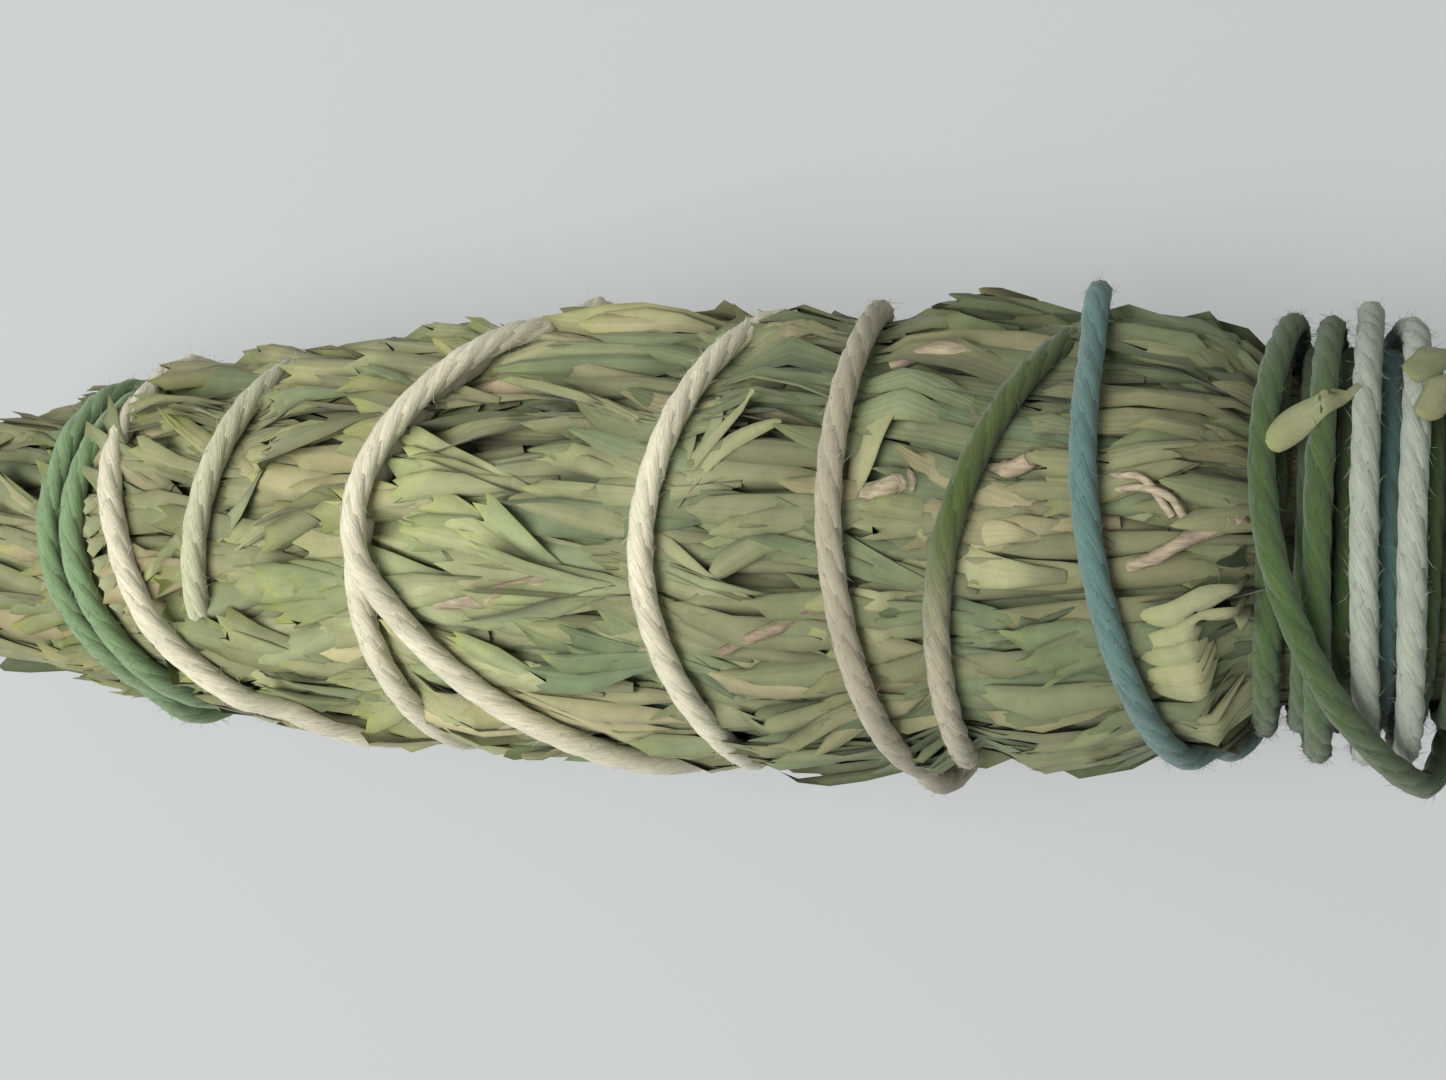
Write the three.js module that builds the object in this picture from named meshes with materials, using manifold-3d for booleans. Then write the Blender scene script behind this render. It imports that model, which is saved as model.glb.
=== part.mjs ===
// A smudge stick: dried sagebrush sprigs laid side by side, wound from end to end with one length of
// variegated worsted yarn, lying on its side. Millimetres, +Z up. The stick runs along X with its tip
// towards -X and its cut stems towards +X. The origin is on the surface that it lies on, under its middle.
import * as THREE from "three";
import { mergeVertices } from "three/addons/utils/BufferGeometryUtils.js";
import Module from "manifold-3d";

const wasm = await Module();
wasm.setup();

// Driving dimensions of the bunch
const TIP_X = -93;
const STEM_END_X = 93;
const FATTEST_X = 12;
const FATTEST_RADIUS = 23.4;
const BUTT_TAPER = 0.05; // radius lost for each millimetre towards the cut stems
const TIP_FULLNESS = 2.2; // how late the bunch begins to narrow towards its tip
const TIP_BLUNTNESS = 0.48;
const AXIS_HEIGHT = 22.6;
const PRESSED_BELOW = 6; // the underside is pressed flatter below this height
const PRESSED_TO = 0.8;

// Sprigs round the outside, and the few at the heart of the bunch
const OUTER_SPRIGS = 10;
const UNEVENNESS = 0.16; // how far the sprigs' widths vary
const UNEVEN_STEP = 2.4;
const UNEVEN_START = 0.5;
const HEART_SPRIGS = 3;
const HEART_RADIUS = 9.3;
const HEART_DEPTH = 4.6; // how far the heart stays below the leaf tips where the bunch narrows
const HEART_STEM_RADIUS = 4.6;
const HEART_SPACE = 0.03; // left between the heart and the sprigs round it
const HEART_TURNED = 0.4; // angle at which the first heart sprig begins
const CLEARANCE = 0.3;
const MASS_GAP = 0.21; // between the packed leaves of neighbouring sprigs, at each edge
const SLIVER = 0.06; // edges shorter than this are closed up
const OUTER_STATIONS = [85, 80, 76, 53, 46, 20, -8, -34, -54, -66, -74]; // bare stems show beyond the first
const HEART_STATIONS = [84, 0, -70, -80];
const HEART_LIMIT_STATIONS = [-60, -74, -84, -93];
const MASS_DEPTH = 4.6; // how far the packed inner leaves stay below the outer leaf tips
const BOUND_DEPTH = 6.2; // the same under the binding
const STEM_RING_RADIUS = 12.6;
const STEM_THIN_X = -40;
const STEM_STATIONS = [40, 0]; // between the cut end and the thin end
const STEM_THINNING = 0.55;
const STEM_SIDES = 6;
const STEM_POCKET = [5, 1]; // how far the space kept for a stem runs on past its cut and its thin end
const WANDER = 0.06;
const WANDER_LENGTH = 38;
const WANDER_START = 0.6;
const SPIRAL = 0.0016; // angle gained for each millimetre

// Leaf blades, larger than life so that a few hundred cover the bunch
const LEAF_LENGTH = 22;
const LEAF_WIDTH = 7.4;
const LEAF_THICKNESS = 1.2;
const LEAF_ROW_PITCH = 14.3;
const TIP_CROWDING = 0.8; // the rows close up towards the tip, beyond this place
const CROWDED_BEYOND_X = -40;
const LEAF_EDGE_GAP = 0.014; // angle between a leaf and the edge of its sprig
const LEAF_SEAT = 0.7; // how far above the packed leaves a leaf's widest part lies
const LEAF_ROOT_DEPTH = 2.2; // and how far below that its root is sunk
const LEAVES_FROM_X = 57;
const LAST_LEAF_ROW_X = -72;
const LEAF_FLARE = 0.6; // how far free leaf tips stand above the bunch's own outline
const UNDERSIDE_FLARE = 1.6;
const FLARE_RANGE = 0.8;
const UNDERSIDE_SINE = -0.8; // leaves at angles whose sine is below this count as the underside
const PRESSED_NEAR_YARN = 2; // a leaf tip this near to the yarn is held down
const FREE_FROM_YARN = 4.5; // and one this far away stands free
const RESTING_SPRIG = 7; // the sprig at the bottom, whose lowest leaves lie flat on the surface
const RESTING_LEAVES = [
  { x: 50, length: 16, flare: 3.6 },
  { x: 16.6, length: 10, flare: 2.8 },
  { x: -9.3, length: 13.5, flare: 3 },
];

// The leaf of each outer sprig that points back over the cut stems, and the leaves at the heart's tip
const BACKWARD_LEAF = { x: 73, length: 15, range: 3, halfAngle: 0.17, sink: 0.3, flare: -1.4 };
const HEART_LEAF = { x: -74, length: 13, range: 2, halfAngle: 0.3, low: -5.6, flare: -5.2 };
const HEART_LEAF_SPREAD = 0.3; // as a share of the heart sprig's width
const HEART_LEAF_COVER = 0.1;
const OUTER_STEM = { thickness: 1.55, range: 0.35, cutRange: 5 };
const HEART_STEM = { thickness: 1.4, range: 0.3, cutRange: 6 };
const RESTING_LEAF_SPREAD = 0.24; // as shares of the sprig's width
const RESTING_LEAF_HALF_WIDTH = 0.22;
const RESTING_LEAF_SEAT = 2.2;
const RESTING_LEAF_ROOT = -6.1;

// How the drawn sizes vary, and where each sprig's draws begin
const LEAST_SHARE = 0.9;
const SHARE_RANGE = 0.25;
const LEAST_STEP = 0.92;
const STEP_RANGE = 0.16;
const WIDEST_LEAF = 0.98; // share of half a sprig's width
const FLARE_START = 0.1;
const OUTER_SEED = 1700;
const OUTER_SEED_STEP = 31;
const HEART_SEED = 9100;
const HEART_SEED_STEP = 17;

// Facets and cores of the packed leaves
const MASS_FACES = 3;
const MASS_CORE = 0.6;
const LIMIT_CORE = 0.5;

// Outline of a leaf: share of its length, share of its half width
const LEAF_SHOULDER = [0.6, 0.8];
const SIDE_TOOTH = [0.94, 0.95];
const TOOTH_NOTCH = [0.84, 0.42];
const SIDE_TOOTH_DROP = 0.35;
const SHOULDER_DROP = 0.15;
const NOTCH_RISE = 0.62;
const NARROWEST = 1.5; // radius below which the bunch's outline is not followed

// Yarn
const YARN_RADIUS = 1.25;
const YARN_STEP = 7.5;
const YARN_STOPS = 60;
const YARN_END_GAP = 0.0014;
const YARN_SIDES = 6;
const OUTWARD_SINK = 1.8; // the yarn's middle lies this far below the leaf tips on its way to the tip
const RETURN_SINK = 0.9; // and on its way back, over the first turns
const UNDERSIDE_SINK = 0.3; // and this much further where the stick's weight presses it in
const BINDING_SINK = 4.4;
const YARN_GAP = 2 * YARN_RADIUS + 0.65;
const YARN_GROOVE = 0.345; // space kept round the yarn in the leaves
const YARN_OFF_SURFACE = 0.03;
const LAY_STEP = 1.7; // spacing at which the yarn is laid over its earlier turns
const LIFT_SLOPE = 0.45;
const LIFT_FLAT = 2; // points kept level on each side of a crossing
const LIFT_REACH = 9;
const BINDING_FROM_X = 52;
const BINDING_TO_X = 77;
const BINDING_EDGE = [6, 1]; // how far outside and inside those places the leaves are pressed in

// Bare twigs that show on top of the leaves: place along the stick and angle in degrees at each end
const TWIG_RADIUS = 0.85;
const TWIG_SINK = 2.3;
const TWIG_SAG = 1.1; // the ends of a twig dip this much further into the leaves
const TWIG_THINNING = 0.75;
const TWIG_STATIONS = [0.25, 0.7];
const TWIG_SIDES = 5;
const BARE_TWIGS = [
  { from: [-21, 107], to: [-7, 99.5] },
  { from: [21, 40], to: [30.5, 34] },
  { from: [19.8, 79], to: [26, 74.5] },
  { from: [42.8, 97], to: [50.8, 86] },
];

const TURN = 2 * Math.PI;
const SEAM = 1e-4; // corners nearer than this are one corner
const SAMPLED_ALONG = [0.6, 0.75, 0.9, 1.05];
const FLOOR_BLOCK = [400, 200, 40];
const clamp = (value, low, high) => Math.min(high, Math.max(low, value));
const mix = (a, b, t) => a + (b - a) * t;
const smoothstep = (low, high, value) => {
  const t = clamp((value - low) / (high - low), 0, 1);
  return t * t * (3 - 2 * t);
};

// The same draws on every run
function seeded(seed) {
  let state = seed;
  return () => {
    state = (state + 0x6d2b79f5) | 0;
    let t = Math.imul(state ^ (state >>> 15), 1 | state);
    t = (t + Math.imul(t ^ (t >>> 7), 61 | t)) ^ t;
    return ((t ^ (t >>> 14)) >>> 0) / 4294967296;
  };
}

// Radius of the bunch at its leaf tips: a long blunt point towards the tip, a slight taper to the stems
function outline(x) {
  if (x > FATTEST_X) return FATTEST_RADIUS - BUTT_TAPER * (x - FATTEST_X);
  const t = clamp((FATTEST_X - x) / (FATTEST_X - TIP_X), 0, 1);
  return FATTEST_RADIUS * (1 - t ** TIP_FULLNESS) ** TIP_BLUNTNESS;
}

// 1 under the binding, 0 away from it
function bound(x) {
  const [outside, inside] = BINDING_EDGE;
  return smoothstep(BINDING_FROM_X - outside, BINDING_FROM_X + inside, x)
    * (1 - smoothstep(BINDING_TO_X + inside, BINDING_TO_X + outside, x));
}

// A point of the bunch from its place along the stick, its angle round it (0 is +Y, a quarter turn is up)
// and its radius. The underside is pressed by the stick's weight.
function at(x, angle, radius) {
  const z = AXIS_HEIGHT + radius * Math.sin(angle);
  const pressed = z < PRESSED_BELOW ? PRESSED_BELOW - (PRESSED_BELOW - z) * PRESSED_TO : z;
  return new THREE.Vector3(x, radius * Math.cos(angle), pressed);
}

// The sprigs wander a little round the bunch instead of running dead straight
const wander = (x) => WANDER * Math.sin(x / WANDER_LENGTH + WANDER_START) + SPIRAL * x;

// Where the yarn lies along the stick, at the far side, front, near side and underside of each turn
const BINDING_FIRST_X = 74.5;
const BINDING_PITCH = 3.2;
const BINDING_TURNS = 7;
const OUTWARD_TURNS = [
  [41, 27.2, 26, 18],
  [9, -0.4, 5, -7],
  [-15, -28.8, -25.5, -33],
  [-41, -47.4, -47.5, -54],
  [-60, -62.8, -55.2, -58.9],
  [-63.2, -66, -58.4, -56],
];
const RETURN_TURN = BINDING_TURNS + OUTWARD_TURNS.length;
const RETURN_TURNS = [
  [-58, -56, -34, -25],
  [-12, -27.9, -3, 5],
  [17.5, 17.2, 23, 30],
  [38.5, 39.6, 48.6, 60],
];
const OVER_TURNS = [
  [66.5, 65.9, 66, 64.6],
  [63.2, 62, 62.6, 61.2],
  [59.9, 58.3, 58.5, 57.2],
  [56.6, 54.4, 69, 71.5],
  [72.5, 72.5, 73.5, 74.5],
];

// The dyed lengths of the yarn in order, with the turn at which each one ends
const DYED_LENGTHS = [
  ["yarn_01_dark_green", "darkGreen", 3],
  ["yarn_02_teal", "teal", 3.8],
  ["yarn_03_dark_green", "darkGreen", 7.3],
  ["yarn_04_cream", "cream", 9.8],
  ["yarn_05_pale_sage", "paleSage", 10.9],
  ["yarn_06_sage", "sage", 12.8],
  ["yarn_07_cream", "cream", 15.8],
  ["yarn_08_teal", "teal", 16.9],
  ["yarn_09_cream", "cream", 18.9],
  ["yarn_10_dark_green", "darkGreen", 21.7],
];

// Every quarter turn of the yarn as its place along the stick
function yarnQuarters() {
  const quarters = [];
  for (let i = 0; i < BINDING_TURNS * 4; i += 1) quarters.push(BINDING_FIRST_X - (BINDING_PITCH * i) / 4);
  for (const turn of [...OUTWARD_TURNS, ...RETURN_TURNS, ...OVER_TURNS]) quarters.push(...turn);
  return quarters;
}

// A smooth value between evenly spaced ones
function between(values, position) {
  const i = clamp(Math.floor(position), 0, values.length - 1);
  const t = position - i;
  const value = (k) => values[clamp(k, 0, values.length - 1)];
  const [a, b, c, d] = [value(i - 1), value(i), value(i + 1), value(i + 2)];
  return b + 0.5 * t * (c - a + t * (2 * a - 5 * b + 4 * c - d + t * (3 * (b - c) + d - a)));
}

// The height at which a point of the yarn clears every earlier turn that it crosses
function crossingRadius(here, earlier) {
  let radius = 0;
  for (const below of earlier) {
    const along = here.x - below.x;
    if (Math.abs(along) > YARN_GAP) continue;
    const turned = here.angle - below.angle;
    const round = (turned - TURN * Math.round(turned / TURN)) * below.radius;
    const apart = Math.hypot(along, round);
    if (apart < YARN_GAP) radius = Math.max(radius, below.radius + Math.sqrt(YARN_GAP ** 2 - apart ** 2));
  }
  return radius;
}

// Lays the yarn in order: it rests in the leaves, and climbs gently over the earlier turns in its way
function layYarn() {
  const quarters = yarnQuarters();
  const points = [];
  let quarter = 0;
  while (quarter < quarters.length - 1) {
    const x = between(quarters, quarter);
    const sink = quarter < 4 * RETURN_TURN ? OUTWARD_SINK : RETURN_SINK;
    const angle = (quarter / 4) * TURN;
    const pressedIn = UNDERSIDE_SINK * Math.max(0, -Math.sin(angle)) ** 4 * (1 - bound(x));
    const radius = outline(x) - mix(sink, BINDING_SINK, bound(x)) - pressedIn;
    points.push({ turn: quarter / 4, x, angle, radius });
    quarter += LAY_STEP / (radius * (TURN / 4));
  }
  points.forEach((here, i) => {
    const lifted = crossingRadius(here, points.slice(0, Math.max(0, i - 2 * LIFT_REACH)));
    if (lifted <= here.radius) return;
    for (let away = -LIFT_REACH; away <= LIFT_REACH; away += 1) {
      const near = points[i + away];
      if (!near) continue;
      const lower = Math.max(0, Math.abs(away) - LIFT_FLAT) * LAY_STEP * LIFT_SLOPE;
      near.radius = Math.max(near.radius, lifted - lower);
    }
  });
  return points;
}

const YARN = layYarn();

// How far a place on the bunch is from the nearest yarn, measured over its surface
function yarnDistance(x, angle) {
  const radius = outline(x);
  let nearest = Infinity;
  for (const point of YARN) {
    const along = x - point.x;
    if (Math.abs(along) > nearest) continue;
    const turned = angle - point.angle;
    const round = (turned - TURN * Math.round(turned / TURN)) * radius;
    nearest = Math.min(nearest, Math.hypot(along, round));
  }
  return nearest;
}

// The angles at which one outer sprig ends and the next begins
const SPRIG_EDGES = Array.from({ length: OUTER_SPRIGS + 1 }, (_, i) => (
  (i + UNEVENNESS * Math.sin(UNEVEN_STEP * (i % OUTER_SPRIGS) + UNEVEN_START)) * (TURN / OUTER_SPRIGS)
));

// Conversions between three.js geometry and solids that can be cut and joined
function solidFromGeometry(geometry) {
  const bare = geometry.clone();
  bare.deleteAttribute("normal");
  bare.deleteAttribute("uv");
  const merged = mergeVertices(bare, SEAM);
  return new wasm.Manifold(new wasm.Mesh({
    numProp: 3,
    vertProperties: new Float32Array(merged.attributes.position.array),
    triVerts: new Uint32Array(merged.index.array),
  }));
}

function geometryFromSolid(solid) {
  const mesh = solid.getMesh();
  const geometry = new THREE.BufferGeometry();
  geometry.setAttribute("position", new THREE.BufferAttribute(mesh.vertProperties, 3));
  geometry.setIndex(new THREE.BufferAttribute(mesh.triVerts, 1));
  const faceted = geometry.toNonIndexed();
  faceted.computeVertexNormals();
  return faceted;
}

// A closed geometry from corner points and triangles that index them
function closedGeometry(points, triangles) {
  const geometry = new THREE.BufferGeometry().setFromPoints(points);
  geometry.setIndex(triangles.flat());
  return geometry;
}

// A closed skin over a row of rings with the same number of points each. Its faces are split alike on
// both sides, so that the twisted sides of two neighbours match.
function loft(rings) {
  const sides = rings[0].length;
  const triangles = [];
  for (let i = 0; i < rings.length - 1; i += 1) {
    for (let j = 0; j < sides; j += 1) {
      const a = i * sides + j;
      const b = i * sides + ((j + 1) % sides);
      if (j < sides / 2) triangles.push([a, b, b + sides], [a, b + sides, a + sides]);
      else triangles.push([a, b, a + sides], [b, b + sides, a + sides]);
    }
  }
  const last = (rings.length - 1) * sides;
  for (let j = 1; j < sides - 1; j += 1) {
    triangles.push([0, j + 1, j], [last, last + j, last + j + 1]);
  }
  return closedSolid(closedGeometry(rings.flat(), triangles));
}

// A solid from a closed geometry whose triangles may be wound either way
function closedSolid(geometry) {
  const solid = solidFromGeometry(geometry);
  if (solid.volume() >= 0) return solid;
  const index = geometry.index.array;
  for (let i = 0; i < index.length; i += 3) [index[i], index[i + 1]] = [index[i + 1], index[i]];
  return solidFromGeometry(geometry);
}

// One sagebrush leaf: a narrow wedge with three teeth at its tip, thickest along its middle.
// It grows from root, sunk in the packed leaves, and runs towards the tip of the stick.
function leafBlade({ x, angle, length, halfAngle, way, low, flare, root = low - LEAF_ROOT_DEPTH }) {
  const place = (along, across, height) => {
    const px = x - way * along * length;
    const turned = angle + across * halfAngle + wander(px) - wander(x);
    return at(px, turned, Math.max(outline(px), NARROWEST) + height);
  };
  const edge = (side) => [
    place(LEAF_SHOULDER[0], side * LEAF_SHOULDER[1], low - SHOULDER_DROP),
    place(SIDE_TOOTH[0], side * SIDE_TOOTH[1], flare - SIDE_TOOTH_DROP),
    place(TOOTH_NOTCH[0], side * TOOTH_NOTCH[1], mix(low, flare, NOTCH_RISE)),
  ];
  const outlinePoints = [place(0, 0, root), ...edge(1), place(1, 0, flare), ...edge(-1).reverse()];
  const top = place(LEAF_SHOULDER[0], 0, low + LEAF_THICKNESS / 2);
  const bottom = place(LEAF_SHOULDER[0], 0, low - LEAF_THICKNESS / 2);
  const count = outlinePoints.length;
  const triangles = [];
  for (let i = 0; i < count; i += 1) {
    const next = (i + 1) % count;
    triangles.push([i, next, count], [next, i, count + 1]);
  }
  return closedSolid(closedGeometry([...outlinePoints, top, bottom], triangles));
}

// How high a leaf's free end may stand: it stays under any yarn that crosses it
function freeFlare(x, angle, length, way, wish, low) {
  let nearest = Infinity;
  for (const along of SAMPLED_ALONG) {
    const px = x - way * along * length;
    nearest = Math.min(nearest, yarnDistance(px, angle + wander(px) - wander(x)));
  }
  return mix(low, wish, smoothstep(PRESSED_NEAR_YARN, FREE_FROM_YARN, nearest));
}

// A long wedge of the bunch between two angles and two radii. Its far side is a fan of faces.
function wedge(from, to, innerRadius, outerRadius, stations, gap, faces) {
  const rings = stations.map((x) => {
    const inner = innerRadius(x);
    const outer = outerRadius(x);
    const inset = (radius) => gap / Math.max(radius, gap);
    const first = (radius) => from + inset(radius) + wander(x);
    const second = (radius) => to - inset(radius) + wander(x);
    const far = Array.from({ length: faces + 1 }, (_, i) => (
      at(x, mix(first(outer), second(outer), i / faces), outer)
    ));
    return [at(x, first(inner), inner), ...far, at(x, second(inner), inner)];
  });
  return loft(rings);
}

// The surface between the heart of the bunch and the sprigs round it, which closes in towards the tip
const heartSurface = (x) => Math.min(HEART_RADIUS, Math.max(outline(x) - HEART_DEPTH, 1));
const insideHeart = (x) => heartSurface(x) - CLEARANCE;
// A sprig's inner side is flat while the heart is round, so it stands off by this share
const CORNER_ALLOWANCE = Math.cos(1.25 * Math.PI / OUTER_SPRIGS);
const outsideHeart = (x) => (heartSurface(x) + HEART_SPACE) / CORNER_ALLOWANCE;

// The space that belongs to each outer sprig reaches well past its leaves
const LIMIT_FROM_X = 90;
const LIMIT_STEP = 15.6;
const LIMIT_RADIUS = 40;
const LIMIT_STATIONS = Array.from({ length: 13 }, (_, i) => LIMIT_FROM_X - i * LIMIT_STEP);

// A woody stem, thicker at its cut end, following its sprig
function stemSolid(angle, ringRadius, cutX, thickness, extra) {
  const [pastCut, pastThin] = extra ? STEM_POCKET : [0, 0];
  const stations = [cutX + pastCut, ...STEM_STATIONS, STEM_THIN_X - pastThin];
  const rings = stations.map((x) => {
    const share = (x - STEM_THIN_X) / (STEM_END_X - STEM_THIN_X);
    const radius = thickness * mix(STEM_THINNING, 1, clamp(share, 0, 1)) + extra;
    const centre = at(x, angle + wander(x), ringRadius);
    return Array.from({ length: STEM_SIDES }, (_, i) => {
      const turned = (i / STEM_SIDES) * TURN;
      const [dy, dz] = [radius * Math.cos(turned), radius * Math.sin(turned)];
      return new THREE.Vector3(x, centre.y + dy, centre.z + dz);
    });
  });
  return loft(rings);
}

const FINISH = {
  leaf: [0x9aa383, 0.85],
  wood: [0x9a8a72, 0.8],
  darkGreen: [0x4c5c33, 0.95],
  teal: [0x6a857c, 0.95],
  cream: [0xc9c6b0, 0.95],
  paleSage: [0xb0b890, 0.95],
  sage: [0x718761, 0.95],
};

function named(name, geometry, finish) {
  const [color, roughness] = FINISH[finish];
  const mesh = new THREE.Mesh(geometry, new THREE.MeshStandardMaterial({ color, roughness, metalness: 0 }));
  mesh.name = name;
  return mesh;
}

const largestBody = (solid) => solid.decompose().sort((a, b) => b.volume() - a.volume())[0];

// A place on the laid yarn by its turn
function yarnAt(turn) {
  const next = clamp(YARN.findIndex((point) => point.turn >= turn), 1, YARN.length - 1);
  const [a, b] = [YARN[next - 1], YARN[next]];
  const t = (turn - a.turn) / (b.turn - a.turn);
  const centre = at(mix(a.x, b.x, t), turn * TURN, mix(a.radius, b.radius, t));
  return centre.setZ(Math.max(centre.z, YARN_RADIUS + YARN_OFF_SURFACE));
}

// One dyed length of the yarn as a tube
function yarnTube(fromTurn, toTurn, radius) {
  const stops = Math.ceil((toTurn - fromTurn) * YARN_STOPS);
  const path = Array.from({ length: stops + 1 }, (_, i) => yarnAt(mix(fromTurn, toTurn, i / stops)));
  const curve = new THREE.CatmullRomCurve3(path);
  curve.arcLengthDivisions = stops * 4;
  const section = new THREE.Shape(Array.from({ length: YARN_SIDES }, (_, i) => new THREE.Vector2(
    radius * Math.cos((i / YARN_SIDES) * TURN),
    radius * Math.sin((i / YARN_SIDES) * TURN),
  )));
  const steps = Math.round(curve.getLength() / YARN_STEP);
  return new THREE.ExtrudeGeometry(section, { steps, bevelEnabled: false, extrudePath: curve });
}

// The yarn cut where its dye changes, with a hair's gap between one length and the next
const YARN_LENGTHS = DYED_LENGTHS.map(([name, finish, to], i) => {
  const from = i === 0 ? 0 : DYED_LENGTHS[i - 1][2];
  return { name, finish, from: from + YARN_END_GAP, to: to - YARN_END_GAP };
});

const FIRST_TURN = 0.001;
const CUTTERS = YARN_LENGTHS.map(({ from, to }) => solidFromGeometry(
  yarnTube(Math.max(FIRST_TURN, from - 2 * YARN_END_GAP), to + YARN_END_GAP, YARN_RADIUS + YARN_GROOVE),
));
const FLOOR_CUTTER = solidFromGeometry(
  new THREE.BoxGeometry(...FLOOR_BLOCK).toNonIndexed().translate(0, 0, -FLOOR_BLOCK[2] / 2),
);

// A bare woody twig lying on top of the leaves between two turns of the yarn
function twigSolid({ from, to }, radius) {
  const [x0, x1] = [from[0], to[0]];
  const lean = (radius - TWIG_RADIUS) / (x1 - x0);
  const rings = [-lean, ...TWIG_STATIONS, 1 + lean].map((t) => {
    const x = mix(x0, x1, t);
    const sag = TWIG_SAG * (2 * t - 1) ** 2;
    const centre = at(x, THREE.MathUtils.degToRad(mix(from[1], to[1], t)), outline(x) - TWIG_SINK - sag);
    const thick = radius * mix(1, TWIG_THINNING, clamp(1 - t, 0, 1));
    return Array.from({ length: TWIG_SIDES }, (_, i) => {
      const turned = (i / TWIG_SIDES) * TURN;
      return new THREE.Vector3(x, centre.y + thick * Math.cos(turned), centre.z + thick * Math.sin(turned));
    });
  });
  return loft(rings);
}

const TWIG_CUTTERS = BARE_TWIGS.map((twig) => twigSolid(twig, TWIG_RADIUS + CLEARANCE));

function finishFoliage(solid) {
  let trimmed = solid;
  for (const cutter of [...CUTTERS, ...TWIG_CUTTERS]) trimmed = trimmed.subtract(cutter);
  return largestBody(trimmed.subtract(FLOOR_CUTTER).simplify(SLIVER));
}

// A draw within a range round 1, for lengths and widths
const varied = (draw) => LEAST_SHARE + SHARE_RANGE * draw();

// The two staggered columns of leaves of an outer sprig
function leafColumn(draw, column, middle, width) {
  const blades = [];
  let x = LEAVES_FROM_X - (column > 0 ? LEAF_ROW_PITCH / 2 : 0);
  while (x > LAST_LEAF_ROW_X) {
    const length = LEAF_LENGTH * varied(draw);
    const spread = (LEAF_WIDTH / 2) * varied(draw) / outline(x - length * LEAF_SHOULDER[0]);
    const halfAngle = Math.min(spread, (width / 4) * WIDEST_LEAF);
    const angle = middle + column * (width / 2 - halfAngle - LEAF_EDGE_GAP) + wander(x);
    const low = LEAF_SEAT - MASS_DEPTH;
    const underneath = Math.sin(angle) < UNDERSIDE_SINE;
    const wish = (underneath ? UNDERSIDE_FLARE : LEAF_FLARE) + (draw() - 0.5) * FLARE_RANGE;
    const flare = freeFlare(x, angle, length, 1, wish, low - FLARE_START);
    blades.push(leafBlade({ x, angle, length, halfAngle, way: 1, low, flare }));
    const crowding = x < CROWDED_BEYOND_X ? TIP_CROWDING : 1;
    x -= LEAF_ROW_PITCH * (LEAST_STEP + STEP_RANGE * draw()) * crowding;
  }
  return blades;
}

// The lowest leaves of the bottom sprig, which lie flat on the surface
function restingLeaves(middle, width) {
  return RESTING_LEAVES.flatMap(({ x, length, flare }) => [-1, 1].map((side) => leafBlade({
    x,
    angle: middle + side * width * RESTING_LEAF_SPREAD + wander(x),
    length,
    halfAngle: width * RESTING_LEAF_HALF_WIDTH,
    way: 1,
    low: flare - RESTING_LEAF_SEAT,
    flare,
    root: RESTING_LEAF_ROOT,
  })));
}

// One outer sprig: its packed leaves, the blades that stand out of them, and its woody stem
function outerSprig(index) {
  const draw = seeded(OUTER_SEED + index * OUTER_SEED_STEP);
  const [from, to] = [SPRIG_EDGES[index], SPRIG_EDGES[index + 1]];
  const width = to - from;
  const middle = (from + to) / 2;
  const massRadius = (x) => outline(x) - mix(MASS_DEPTH, BOUND_DEPTH, bound(x));
  const mass = wedge(from, to, outsideHeart, massRadius, OUTER_STATIONS, MASS_GAP, MASS_FACES);
  const blades = [-1, 1].flatMap((column) => leafColumn(draw, column, middle, width));
  if (index === RESTING_SPRIG) blades.push(...restingLeaves(middle, width));
  blades.push(leafBlade({
    x: BACKWARD_LEAF.x,
    angle: middle + wander(BACKWARD_LEAF.x),
    length: BACKWARD_LEAF.length + BACKWARD_LEAF.range * draw(),
    halfAngle: BACKWARD_LEAF.halfAngle,
    way: -1,
    low: -MASS_DEPTH - BACKWARD_LEAF.sink,
    flare: BACKWARD_LEAF.flare + draw(),
  }));
  const cutX = STEM_END_X - OUTER_STEM.cutRange * draw();
  const thickness = OUTER_STEM.thickness + OUTER_STEM.range * draw();
  const limit = wedge(from, to, outsideHeart, () => LIMIT_RADIUS, LIMIT_STATIONS, CLEARANCE / 2, 1);
  const leaves = wasm.Manifold.union(blades).intersect(limit).add(mass)
    .subtract(stemSolid(middle, STEM_RING_RADIUS, cutX, thickness, CLEARANCE));
  const stem = stemSolid(middle, STEM_RING_RADIUS, cutX, thickness, 0);
  const number = String(index + 1).padStart(2, "0");
  return [
    named(`sprig_${number}_leaves`, geometryFromSolid(finishFoliage(leaves)), "leaf"),
    named(`sprig_${number}_stem`, geometryFromSolid(stem), "wood"),
  ];
}

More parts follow.
